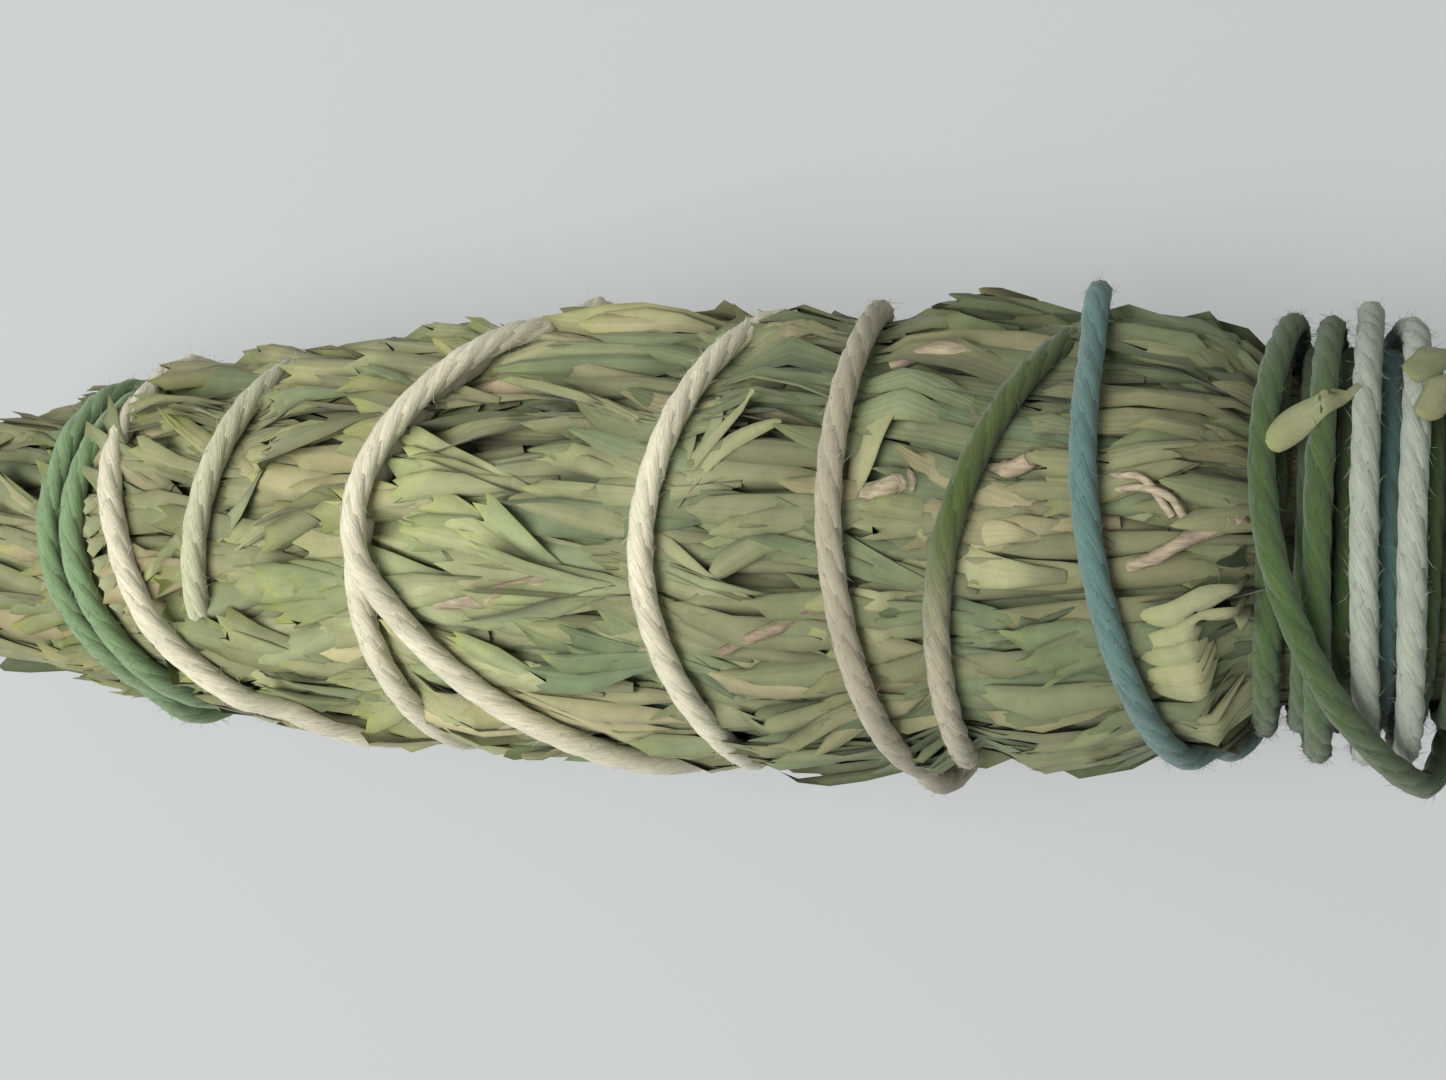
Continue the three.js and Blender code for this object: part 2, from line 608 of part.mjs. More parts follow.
// One sprig at the heart of the bunch, seen only at the tip and at the cut end
function heartSprig(index) {
  const draw = seeded(HEART_SEED + index * HEART_SEED_STEP);
  const width = TURN / HEART_SPRIGS;
  const from = index * width + HEART_TURNED;
  const to = from + width;
  const middle = from + width / 2;
  const massRadius = (x) => insideHeart(x) - HEART_LEAF_COVER;
  const mass = wedge(from, to, () => MASS_CORE, massRadius, HEART_STATIONS, MASS_GAP, MASS_FACES);
  const blades = [-HEART_LEAF_SPREAD, 0, HEART_LEAF_SPREAD].map((side) => leafBlade({
    x: HEART_LEAF.x,
    angle: middle + side * width + wander(HEART_LEAF.x),
    length: HEART_LEAF.length + HEART_LEAF.range * draw(),
    halfAngle: HEART_LEAF.halfAngle,
    way: 1,
    low: HEART_LEAF.low,
    flare: HEART_LEAF.flare,
  }));
  const cutX = STEM_END_X - HEART_STEM.cutRange * draw();
  const thickness = HEART_STEM.thickness + HEART_STEM.range * draw();
  const gap = CLEARANCE / 2;
  const limit = wedge(from, to, () => LIMIT_CORE, insideHeart, HEART_LIMIT_STATIONS, gap, MASS_FACES);
  const leaves = wasm.Manifold.union(blades).intersect(limit).add(mass)
    .subtract(stemSolid(middle, HEART_STEM_RADIUS, cutX, thickness, CLEARANCE));
  const stem = stemSolid(middle, HEART_STEM_RADIUS, cutX, thickness, 0);
  return [
    named(`heart_sprig_${index + 1}_leaves`, geometryFromSolid(finishFoliage(leaves)), "leaf"),
    named(`heart_sprig_${index + 1}_stem`, geometryFromSolid(stem), "wood"),
  ];
}

const smudgeStick = new THREE.Group();
for (let i = 0; i < OUTER_SPRIGS; i += 1) smudgeStick.add(...outerSprig(i));
for (let i = 0; i < HEART_SPRIGS; i += 1) smudgeStick.add(...heartSprig(i));
BARE_TWIGS.forEach((twig, i) => {
  smudgeStick.add(named(`bare_twig_${i + 1}`, geometryFromSolid(twigSolid(twig, TWIG_RADIUS)), "wood"));
});
for (const { name, finish, from, to } of YARN_LENGTHS) {
  smudgeStick.add(named(name, yarnTube(from, to, YARN_RADIUS), finish));
}

export default smudgeStick;
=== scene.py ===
import math

import bmesh
import bpy
import numpy as np
from mathutils import Matrix, Vector, kdtree


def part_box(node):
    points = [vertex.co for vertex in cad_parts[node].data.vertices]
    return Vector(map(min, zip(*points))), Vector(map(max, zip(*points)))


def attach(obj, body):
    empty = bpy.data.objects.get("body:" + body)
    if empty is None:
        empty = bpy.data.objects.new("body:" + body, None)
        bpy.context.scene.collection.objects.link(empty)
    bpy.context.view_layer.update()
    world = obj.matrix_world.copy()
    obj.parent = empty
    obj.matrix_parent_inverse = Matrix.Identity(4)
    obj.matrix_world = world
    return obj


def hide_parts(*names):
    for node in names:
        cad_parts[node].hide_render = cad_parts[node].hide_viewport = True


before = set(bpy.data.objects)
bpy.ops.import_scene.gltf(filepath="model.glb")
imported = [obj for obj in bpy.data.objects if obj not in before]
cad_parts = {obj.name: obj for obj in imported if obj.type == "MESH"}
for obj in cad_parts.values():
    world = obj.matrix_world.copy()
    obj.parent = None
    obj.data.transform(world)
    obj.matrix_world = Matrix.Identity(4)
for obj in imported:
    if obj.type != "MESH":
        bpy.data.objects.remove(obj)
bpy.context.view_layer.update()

scene = bpy.context.scene

# The photograph's viewpoint: close above the bound end of the stick, leaning a little towards the leaf
# tip. The wraps bow across the picture because the camera is only about 20 cm away.
AXIS_HEIGHT = 0.0226
CAMERA_ABOVE_AXIS = 0.1994
CAMERA_X = 0.057
CAMERA_LEAN = math.radians(15.6)
PHOTO_WIDTH = 1446
FOCAL_PIXELS = 2070

camera_data = bpy.data.cameras.new("photo_camera")
camera_data.sensor_fit = "HORIZONTAL"
camera_data.sensor_width = 36
camera_data.lens = FOCAL_PIXELS / PHOTO_WIDTH * camera_data.sensor_width
camera_data.clip_start = 0.01
camera = bpy.data.objects.new("photo_camera", camera_data)
camera.location = (CAMERA_X, 0, AXIS_HEIGHT + CAMERA_ABOVE_AXIS)
camera.rotation_euler = (0, CAMERA_LEAN, 0)
scene.collection.objects.link(camera)
scene.camera = camera

# A plain pale sheet to lie on, which glows of itself as painted light that softens the bunch's shadow and
# lights it from below, and the light of a bright room: one wide soft source above the leaf tip, which leaves
# the bound end a little darker, and a white surround.
FLOOR_COLOUR = (0.17, 0.178, 0.176)
FLOOR_PAINTED_GLOW = (0.9, 0.93, 0.92)
FLOOR_PAINTED_GLOW_STRENGTH = 0.39
FLOOR_SIZE = 2.4
LIGHT_PLACE = (-0.2, -0.08, 0.52)
LIGHT_SIZE = 0.42
LIGHT_POWER = 4.0
ROOM_COLOUR = (0.97, 0.99, 1.0)
ROOM_STRENGTH = 0.46

floor_mesh = bpy.data.meshes.new("floor")
half = FLOOR_SIZE / 2
floor_corners = [(-half, -half, 0), (half, -half, 0), (half, half, 0), (-half, half, 0)]
floor_mesh.from_pydata(floor_corners, [], [(0, 1, 2, 3)])
floor = bpy.data.objects.new("floor", floor_mesh)
scene.collection.objects.link(floor)
floor_material = bpy.data.materials.new("pale_floor")
floor_material.use_nodes = True
floor_shader = floor_material.node_tree.nodes["Principled BSDF"]
floor_shader.inputs["Base Color"].default_value = (*FLOOR_COLOUR, 1)
# The sheet's glow is painted light: it lifts the shadow round the bunch and lights the bunch from below.
floor_shader.inputs["Emission Color"].default_value = (*FLOOR_PAINTED_GLOW, 1)
floor_shader.inputs["Emission Strength"].default_value = FLOOR_PAINTED_GLOW_STRENGTH
floor_shader.inputs["Roughness"].default_value = 0.9
floor_shader.inputs["Specular IOR Level"].default_value = 0.1
floor_mesh.materials.append(floor_material)

light_data = bpy.data.lights.new("room_light", "AREA")
light_data.shape = "DISK"
light_data.size = LIGHT_SIZE
light_data.energy = LIGHT_POWER
light = bpy.data.objects.new("room_light", light_data)
light.location = LIGHT_PLACE
light.rotation_euler = (-Vector(LIGHT_PLACE)).to_track_quat("-Z", "Y").to_euler()
scene.collection.objects.link(light)

world = bpy.data.worlds.new("white_room")
world.use_nodes = True
world.node_tree.nodes["Background"].inputs["Color"].default_value = (*ROOM_COLOUR, 1)
world.node_tree.nodes["Background"].inputs["Strength"].default_value = ROOM_STRENGTH
scene.world = world
scene.view_settings.view_transform = "Standard"

# The bunch's own shape: a long blunt taper to the leaf tips and a slight one to the cut stems, pressed a
# little flat where it lies. A place on it is given along the stick, round it and out from its middle.
TIP_X = -0.093
STEM_END_X = 0.093
FATTEST_X = 0.012
FATTEST_RADIUS = 0.0234
BUTT_TAPER = 0.05
PRESSED_BELOW = 0.006
PRESSED_TO = 0.8
TIP_FULLNESS, TIP_BLUNTNESS = 2.2, 0.48
SWAY, SWAY_LENGTH, TWIST = 0.06, 0.038, 1.6
BINDING_FROM_X = 0.052
BINDING_TO_X = 0.077
DRAWN_IN = (BINDING_FROM_X - 0.006, BINDING_FROM_X + 0.001)
LET_OUT = (BINDING_TO_X + 0.001, BINDING_TO_X + 0.006)
TURN = 2 * math.pi


def smoothstep(low, high, value):
    t = np.clip((value - low) / (high - low), 0, 1)
    return t * t * (3 - 2 * t)


def within(rise, fall, value):
    """1 between a rise and a fall, each given by its start and its end, and 0 outside them."""
    return smoothstep(*rise, value) * (1 - smoothstep(*fall, value))


def outline(x):
    """How far the bunch reaches from its middle."""
    t = np.clip((FATTEST_X - x) / (FATTEST_X - TIP_X), 0, 1)
    tapered = FATTEST_RADIUS * (1 - t ** TIP_FULLNESS) ** TIP_BLUNTNESS
    return np.where(x > FATTEST_X, FATTEST_RADIUS - BUTT_TAPER * (x - FATTEST_X), tapered)


def bound(x):
    """1 where the binding draws the bunch in, and 0 away from it."""
    return within(DRAWN_IN, LET_OUT, x)


def wander(x):
    """How far round the bunch the sprigs have turned, since none of them lies quite straight."""
    return SWAY * np.sin(x / SWAY_LENGTH + 0.6) + TWIST * x


def at(x, angle, radius):
    """Points of the bunch, pressed a little flat where it lies."""
    z = AXIS_HEIGHT + radius * np.sin(angle)
    pressed = np.where(z < PRESSED_BELOW, PRESSED_BELOW - (PRESSED_BELOW - z) * PRESSED_TO, z)
    return np.stack(np.broadcast_arrays(x, radius * np.cos(angle), pressed), -1)


# The yarn: one length of soft four-ply worsted wool, dyed in turn green, teal, cream and sage. It binds
# the stems, spirals out to the tip, is doubled there, spirals back over itself and binds the stems again.
YARN_RADIUS = 0.00125
YARN_GAP = 0.00315
OFF_THE_GROUND = 0.00012
LAY_STEP = 0.0017
LIFT_SLOPE, LIFT_FLAT, LIFT_REACH = 0.45, 2, 9
OUTWARD_SINK, RETURN_SINK, UNDERSIDE_SINK, BINDING_SINK = 0.0018, 0.0009, 0.0003, 0.0044
BINDING_FIRST_X, BINDING_PITCH, BINDING_TURNS = 0.0745, 0.0032, 7
OUTWARD_TURNS = [
    (0.041, 0.0272, 0.026, 0.018),
    (0.009, -0.0004, 0.005, -0.007),
    (-0.015, -0.0288, -0.0255, -0.033),
    (-0.041, -0.0474, -0.0475, -0.054),
    (-0.06, -0.0628, -0.0552, -0.0589),
    (-0.0632, -0.066, -0.0584, -0.056),
]
RETURN_TURNS = [
    (-0.058, -0.056, -0.034, -0.025),
    (-0.012, -0.0279, -0.003, 0.005),
    (0.0175, 0.0172, 0.023, 0.03),
    (0.0385, 0.0396, 0.0486, 0.06),
]
OVER_TURNS = [
    (0.0665, 0.0659, 0.066, 0.0646),
    (0.0632, 0.062, 0.0626, 0.0612),
    (0.0599, 0.0583, 0.0585, 0.0572),
    (0.0566, 0.0544, 0.069, 0.0715),
    (0.0725, 0.0725, 0.0735, 0.0745),
]
RETURN_TURN = BINDING_TURNS + len(OUTWARD_TURNS)

quarters = [BINDING_FIRST_X - BINDING_PITCH * i / 4 for i in range(4 * BINDING_TURNS)]
for turn in OUTWARD_TURNS + RETURN_TURNS + OVER_TURNS:
    quarters.extend(turn)


def between(values, position):
    """A value part way along a list, on a smooth curve through them all."""
    last = len(values) - 1
    i = min(int(position), last)
    t = position - i
    a, b, c, d = (values[min(max(k, 0), last)] for k in (i - 1, i, i + 1, i + 2))
    return b + 0.5 * t * (c - a + t * (2 * a - 5 * b + 4 * c - d + t * (3 * (b - c) + d - a)))


laid = []
quarter = 0.0
while quarter < len(quarters) - 1:
    x = between(quarters, quarter)
    angle = quarter / 4 * TURN
    sink = OUTWARD_SINK if quarter < 4 * RETURN_TURN else RETURN_SINK
    sink += (BINDING_SINK - sink) * float(bound(x))
    pressed_in = UNDERSIDE_SINK * max(0, -math.sin(angle)) ** 4 * (1 - float(bound(x)))
    radius = float(outline(x)) - sink - pressed_in
    laid.append([quarter / 4, x, angle, radius])
    quarter += LAY_STEP / (radius * TURN / 4)
laid = np.array(laid)

# Where the yarn crosses a turn laid before, it rides over it, and rises and falls gently on both sides.
for i in range(2 * LIFT_REACH + 1, len(laid)):
    earlier = laid[:i - 2 * LIFT_REACH]
    along = laid[i, 1] - earlier[:, 1]
    turned = laid[i, 2] - earlier[:, 2]
    round_it = (turned - TURN * np.round(turned / TURN)) * earlier[:, 3]
    apart = np.hypot(along, round_it)
    close = apart < YARN_GAP
    if not close.any():
        continue
    lifted = (earlier[close, 3] + np.sqrt(YARN_GAP ** 2 - apart[close] ** 2)).max()
    if lifted <= laid[i, 3]:
        continue
    for away in range(-LIFT_REACH, LIFT_REACH + 1):
        if i + away < len(laid):
            climb = lifted - max(0, abs(away) - LIFT_FLAT) * LAY_STEP * LIFT_SLOPE
            laid[i + away, 3] = max(laid[i + away, 3], climb)

# Each dyed length is its own piece, given with the turn at which it ends and its slot. The dye itself
# changes over a finger's width and is uneven, so each point of the yarn mixes the two dyes nearest to it.
DYED_LENGTHS = [
    ("yarn_01_dark_green", 3, "yarn_dark_green"),
    ("yarn_02_teal", 3.8, "yarn_teal"),
    ("yarn_03_dark_green", 7.3, "yarn_dark_green"),
    ("yarn_04_cream", 9.8, "yarn_cream"),
    ("yarn_05_pale_sage", 10.9, "yarn_pale_sage"),
    ("yarn_06_sage", 12.8, "yarn_sage"),
    ("yarn_07_cream", 15.8, "yarn_cream"),
    ("yarn_08_teal", 16.9, "yarn_teal"),
    ("yarn_09_cream", 18.9, "yarn_cream"),
    ("yarn_10_dark_green", 21.7, "yarn_dark_green"),
]
DARK_GREEN = (0.052, 0.09, 0.026)
MOSS_GREEN = (0.062, 0.09, 0.02)
TEAL = (0.088, 0.165, 0.142)
CREAM = (0.60, 0.565, 0.41)
FADED_CREAM = (0.37, 0.335, 0.235)
COOL_CREAM = (0.30, 0.33, 0.265)
PALE_SAGE = (0.44, 0.45, 0.29)
SAGE = (0.17, 0.255, 0.122)
DYES = [
    (3, DARK_GREEN), (3.8, TEAL), (6.9, DARK_GREEN), (7.3, MOSS_GREEN), (7.9, FADED_CREAM), (9.8, CREAM),
    (10.9, PALE_SAGE), (12.8, SAGE), (14.8, CREAM), (15.8, FADED_CREAM), (16.9, TEAL),
    (18.9, COOL_CREAM), (21.7, DARK_GREEN),
]
DYE_BLEND_TURNS = 0.07
PATH_STEP_TURNS = 0.008
TUCKED = 0.012  # turns by which each length runs on inside the next
PLIES = 4
PLY_SIDES = 7
PLY_RADIUS = 0.0009
PLY_OFFSET = 0.00035
PLY_PITCH = 0.0145
PLY_STEP = 0.001
YARN_STEP_TURNS = 0.006
FLUFF = 0.00022
FLUFF_SCALE = 700.0


def yarn_point(turns):
    x = np.interp(turns, laid[:, 0], laid[:, 1])
    radius = np.interp(turns, laid[:, 0], laid[:, 3])
    place = at(x, turns * TURN, radius)
    place[:, 2] = np.maximum(place[:, 2], YARN_RADIUS + OFF_THE_GROUND)
    return place


def unit(vectors):
    return vectors / np.linalg.norm(vectors, axis=1)[:, None]


def yarn_frame(turns):
    """The yarn's middle, the way that it runs and the way out of the bunch, square to each other."""
    middle = yarn_point(turns)
    ahead = unit(yarn_point(turns + 0.002) - yarn_point(turns - 0.002))
    outward = middle * (0, 1, 1) - (0, 0, AXIS_HEIGHT)
    return middle, ahead, unit(outward - ahead * (outward * ahead).sum(1)[:, None])


wound = yarn_point(laid[:, 0])
wound_length = np.concatenate([[0], np.cumsum(np.linalg.norm(np.diff(wound, axis=0), axis=1))])


def dye_at(turns):
    """The wool's colour, each dye running a little into the next."""
    colours = np.tile(np.array(DYES[0][1]), (len(turns), 1))
    for (end, _), (_, colour) in zip(DYES, DYES[1:]):
        share = smoothstep(end - DYE_BLEND_TURNS, end + DYE_BLEND_TURNS, turns)[:, None]
        colours = colours * (1 - share) + np.array(colour) * share
    return colours


class NodeBuilder:
    """Adds nodes to a tree, each given its inputs by name or number as values or as other nodes' outputs."""

    def __init__(self, tree):
        self.tree = tree

    def add(self, kind, inputs=(), **settings):
        node = self.tree.nodes.new(kind)
        for name, value in settings.items():
            setattr(node, name, value)
        for key, value in dict(inputs).items():
            socket = node.inputs[key]
            if isinstance(value, bpy.types.NodeSocket):
                self.tree.links.new(value, socket)
            else:
                socket.default_value = value
        return node

    def out(self, kind, inputs=(), **settings):
        """The first output of a new node."""
        return self.add(kind, inputs, **settings).outputs[0]

    def math(self, operation, a, b=0.0):
        return self.out("ShaderNodeMath", {0: a, 1: b}, operation=operation)

    def times(self, a, b):
        return self.math("MULTIPLY", a, b)

    def plus(self, a, b):
        return self.math("ADD", a, b)

    def scaled(self, vector, factor):
        return self.out("ShaderNodeVectorMath", {0: vector, "Scale": factor}, operation="SCALE")

    def vector(self, operation, a, b):
        return self.out("ShaderNodeVectorMath", {0: a, 1: b}, operation=operation)

    def noise(self, place, scale, detail, roughness=0.5):
        return self.out("ShaderNodeTexNoise", {
            "Vector": place, "Scale": scale, "Detail": detail, "Roughness": roughness})

    def named(self, name, kind):
        """A value that each point of the mesh carries."""
        return self.out("GeometryNodeInputNamedAttribute", {"Name": name}, data_type=kind)

    def stored(self, geometry, name, value):
        inputs = {"Geometry": geometry, "Name": name, "Value": value}
        return self.out("GeometryNodeStoreNamedAttribute", inputs, data_type="FLOAT")

    def circle(self, sides, radius):
        return self.out("GeometryNodeCurvePrimitiveCircle", {"Resolution": sides, "Radius": radius})

    def moved(self, geometry, offset):
        return self.out("GeometryNodeSetPosition", {"Geometry": geometry, "Offset": offset})

    def end(self, geometry, finish):
        """Real, smooth faces of one material, as the tree's result."""
        solid = self.out("GeometryNodeRealizeInstances", {"Geometry": geometry})
        smooth = self.out("GeometryNodeSetShadeSmooth", {"Geometry": solid})
        self.add("NodeGroupOutput", {
            0: self.out("GeometryNodeSetMaterial", {"Geometry": smooth, "Material": finish})})
        return self.tree


def new_tree(name, sockets):
    """A tree that turns one mesh into another, with a builder for it and what it is given."""
    tree = bpy.data.node_groups.new(name, "GeometryNodeTree")
    tree.interface.new_socket("Geometry", in_out="INPUT", socket_type="NodeSocketGeometry")
    for label, kind in sockets.items():
        tree.interface.new_socket(label, in_out="INPUT", socket_type="NodeSocket" + kind)
    tree.interface.new_socket("Geometry", in_out="OUTPUT", socket_type="NodeSocketGeometry")
    n = NodeBuilder(tree)
    return n, n.add("NodeGroupInput").outputs


def ply_tree():
    """Plies twisted along a path, their wool a little ruffled."""
    n, given = new_tree("twist_plies", {
        "Ply radius": "Float", "Ply offset": "Float", "Pitch": "Float", "Step": "Float", "Fluff": "Float",
        "Fluff scale": "Float", "Wool": "Material",
    })
    curve = n.out("GeometryNodeMeshToCurve", {"Mesh": given["Geometry"]})
    path = n.out("GeometryNodeResampleCurve", {"Curve": curve, "Length": given["Step"]}, mode="LENGTH")
    normal = n.named("outward", "FLOAT_VECTOR")
    side = n.vector("CROSS_PRODUCT", normal, n.out("GeometryNodeInputTangent"))
    turned = n.math("DIVIDE", n.times(n.named("along", "FLOAT"), TURN), given["Pitch"])
    rim = n.add("GeometryNodeSplineParameter").outputs["Factor"]
    profile = n.stored(n.circle(PLY_SIDES, given["Ply radius"]), "around", rim)
    plies = n.add("GeometryNodeJoinGeometry")
    for ply in range(PLIES):
        phase = n.plus(turned, ply / PLIES * TURN)
        across = n.scaled(normal, n.math("COSINE", phase))
        up = n.scaled(side, n.math("SINE", phase))
        line = n.moved(path, n.scaled(n.vector("ADD", across, up), given["Ply offset"]))
        strand = n.out("GeometryNodeCurveToMesh", {
            "Curve": line, "Profile Curve": profile, "Fill Caps": True})
        n.tree.links.new(n.stored(strand, "ply", float(ply)), plies.inputs[0])
    ruffle = n.noise(n.out("GeometryNodeInputPosition"), given["Fluff scale"], 2.0)
    lift = n.times(n.math("SUBTRACT", ruffle, 0.5), given["Fluff"])
    raised = n.scaled(n.out("GeometryNodeInputNormal"), lift)
    return n.end(n.moved(plies.outputs[0], raised), given["Wool"])


def grown(name, seed_mesh, tree, values):
    """The tree's result on a seed mesh, as a plain mesh object."""
    seed = bpy.data.objects.new(name, seed_mesh)
    scene.collection.objects.link(seed)
    modifier = seed.modifiers.new("grow", "NODES")
    modifier.node_group = tree
    for item in tree.interface.items_tree:
        if item.in_out == "INPUT" and item.name in values:
            modifier[item.identifier] = values[item.name]
    evaluated = seed.evaluated_get(bpy.context.evaluated_depsgraph_get())
    mesh = bpy.data.meshes.new_from_object(evaluated)
    seed.modifiers.remove(modifier)
    seed.data = mesh
    mesh.name = name
    return seed


class MaterialBuilder(NodeBuilder):
    """Adds nodes to a new material."""

    def __init__(self, name):
        self.material = bpy.data.materials.new(name)
        self.material.use_nodes = True
        super().__init__(self.material.node_tree)

    def read(self, name, output="Fac"):
        """A value that each point of the mesh carries."""
        return self.add("ShaderNodeAttribute", attribute_name=name).outputs[output]

    def spread(self, value, low, high, start=0.3, end=0.7):
        """A value that runs from start to end, such as a noise pattern's, spread from low to high."""
        return self.out("ShaderNodeMapRange", {
            "Value": value, "From Min": start, "From Max": end, "To Min": low, "To Max": high})

    def mixed(self, factor, first, second):
        inputs = {"Factor": factor, 6: first, 7: second}
        return self.add("ShaderNodeMix", inputs, data_type="RGBA").outputs[2]

    def ramp(self, value, stops):
        """A row of colours, each with its place between 0 and 1."""
        node = self.add("ShaderNodeValToRGB", {"Fac": value})
        elements = node.color_ramp.elements
        elements.remove(elements[1])
        elements[0].position = stops[0][0]
        elements[0].color = (*stops[0][1], 1)
        for position, colour in stops[1:]:
            elements.new(position).color = (*colour, 1)
        return node.outputs["Color"]

    def along_stick(self, squeeze):
        """Places in the piece, drawn out along the stick."""
        place = self.add("ShaderNodeTexCoord").outputs["Object"]
        return self.out("ShaderNodeMapping", {"Vector": place, "Scale": (squeeze, 1, 1)})

    def finished(self, colour, height, strength, relief, **values):
        """Links the colour and a bump of a height in metres, and sets the shader's plain values."""
        shader = self.tree.nodes["Principled BSDF"]
        bump = self.out("ShaderNodeBump", {"Height": height, "Strength": strength, "Distance": relief})
        self.tree.links.new(colour, shader.inputs["Base Color"])
        self.tree.links.new(bump, shader.inputs["Normal"])
        for name, value in values.items():
            shader.inputs[name.replace("_", " ")].default_value = value
        return self.material


FIBRE_RUN = 260.0
FIBRE_SLANT = 420.0
FIBRES_ROUND = 3.2
PLY_SHIFT = 17.0
BLOTCH_RUN = 60.0


def wool_material():
    """Dyed wool: fine fibres wound round each ply, some lighter than others, and faint blotches."""
    n = MaterialBuilder("worsted_wool")
    dye = n.read("dye", "Color")
    along = n.read("along")
    ply = n.read("ply")
    around = n.times(n.read("around"), TURN)
    slant = n.plus(n.times(along, FIBRE_SLANT), around)
    level = n.times(n.math("COSINE", slant), FIBRES_ROUND)
    fibre_place = n.out("ShaderNodeCombineXYZ", {
        "X": n.times(along, FIBRE_RUN),
        "Y": n.times(n.math("SINE", slant), FIBRES_ROUND),
        "Z": n.plus(level, n.times(ply, PLY_SHIFT)),
    })
    fibres = n.noise(fibre_place, 2.2, 4.0, 0.65)
    blotch_place = n.out("ShaderNodeCombineXYZ", {"X": n.times(along, BLOTCH_RUN), "Y": n.times(ply, 5.0)})
    blotches = n.noise(blotch_place, 1.0, 2.0)
    colour = n.scaled(n.scaled(dye, n.spread(fibres, 0.7, 1.22)), n.spread(blotches, 0.86, 1.14))
    return n.finished(colour, fibres, 0.55, 0.00025, Roughness=0.95, Specular_IOR_Level=0.1,
                      Sheen_Weight=0.2, Sheen_Roughness=0.6)


HAIR_FORMS = 6
HAIR_RINGS = 2
HAIR_SIDES = 3
HAIR_RADIUS = 0.014
HAIRS_PER_TURN = 620
HAIR_LENGTHS = (0.0007, 0.0019)
LOW_FIBRES, PRESSED_SHORT = 0.0016, 0.1  # fibres nearer to the ground than this are pressed short
FUZZ_STOPS_SHORT = 0.01


def mesh_data(name, mesh):
    """A closed shape as mesh data, its faces pointing outwards."""
    bmesh.ops.recalc_face_normals(mesh, faces=mesh.faces)
    data = bpy.data.meshes.new(name)
    mesh.to_mesh(data)
    mesh.free()
    return data


def hair_mesh(name, draw):
    """One loose fibre, a unit long along +X and bent towards +Z, thin and closed."""
    mesh = bmesh.new()
    bend = draw.uniform(0.2, 1.5)
    sway = draw.normal(0, 0.5)
    rings = []
    for ring in range(HAIR_RINGS):
        s = ring / HAIR_RINGS
        middle = Vector((math.sin(bend * s) / bend, sway * s * s * 0.5, (1 - math.cos(bend * s)) / bend))
        radius = HAIR_RADIUS * (1 - 0.6 * s)
        rings.append([])
        for k in range(HAIR_SIDES):
            a = TURN * k / HAIR_SIDES
            rings[-1].append(mesh.verts.new(middle + radius * Vector((0, math.cos(a), math.sin(a)))))
    tip = mesh.verts.new((math.sin(bend) / bend, sway * 0.5, (1 - math.cos(bend)) / bend))
    mesh.faces.new(rings[0])
    for a, b in zip(rings, rings[1:]):
        for k in range(HAIR_SIDES):
            j = (k + 1) % HAIR_SIDES
            mesh.faces.new((a[k], a[j], b[j], b[k]))
    for k in range(HAIR_SIDES):
        mesh.faces.new((rings[-1][k], rings[-1][(k + 1) % HAIR_SIDES], tip))
    return mesh_data(name, mesh)


def forms_collection(name, meshes):
    """Forms to be planted, numbered in the order of their names."""
    forms = bpy.data.collections.new(name)
    for mesh in meshes:
        forms.objects.link(bpy.data.objects.new(mesh.name, mesh))
    return forms


def planting_tree():
    """Places one of a few forms on every seed, turned and sized as the seed says."""
    n, given = new_tree("plant_forms", {"Forms": "Collection", "Size": "Float", "Finish": "Material"})
    forms = n.out("GeometryNodeCollectionInfo", {
        "Collection": given["Forms"], "Separate Children": True, "Reset Children": True})
    rotation = n.out("FunctionNodeEulerToRotation", {0: n.named("turn", "FLOAT_VECTOR")})
    planted = n.out("GeometryNodeInstanceOnPoints", {
        "Points": given["Geometry"], "Instance": forms, "Pick Instance": True,
        "Instance Index": n.named("form", "INT"), "Rotation": rotation,
        "Scale": n.scaled(n.named("size", "FLOAT_VECTOR"), given["Size"])})
    return n.end(planted, given["Finish"])


planting = planting_tree()
FIELDS = {"INT": "value", "FLOAT": "value", "FLOAT_VECTOR": "vector", "FLOAT_COLOR": "color"}


def planted(name, places, columns, forms, finish):
    """Forms planted on given places; a column is an attribute's name, kind and values, one per place."""
    seeds = bpy.data.meshes.new(name)
    seeds.from_pydata(places, [], [])
    for label, kind, values in columns:
        data = seeds.attributes.new(label, kind, "POINT").data
        data.foreach_set(FIELDS[kind], np.asarray(values).ravel())
    return grown(name, seeds, planting, {"Forms": forms, "Size": 1.0, "Finish": finish})


def joined(name, pieces):
    """One mesh object out of several, keeping their materials."""
    with bpy.context.temp_override(active_object=pieces[0], selected_editable_objects=pieces):
        bpy.ops.object.join()
    pieces[0].name = name
    pieces[0].data.name = name
    return pieces[0]


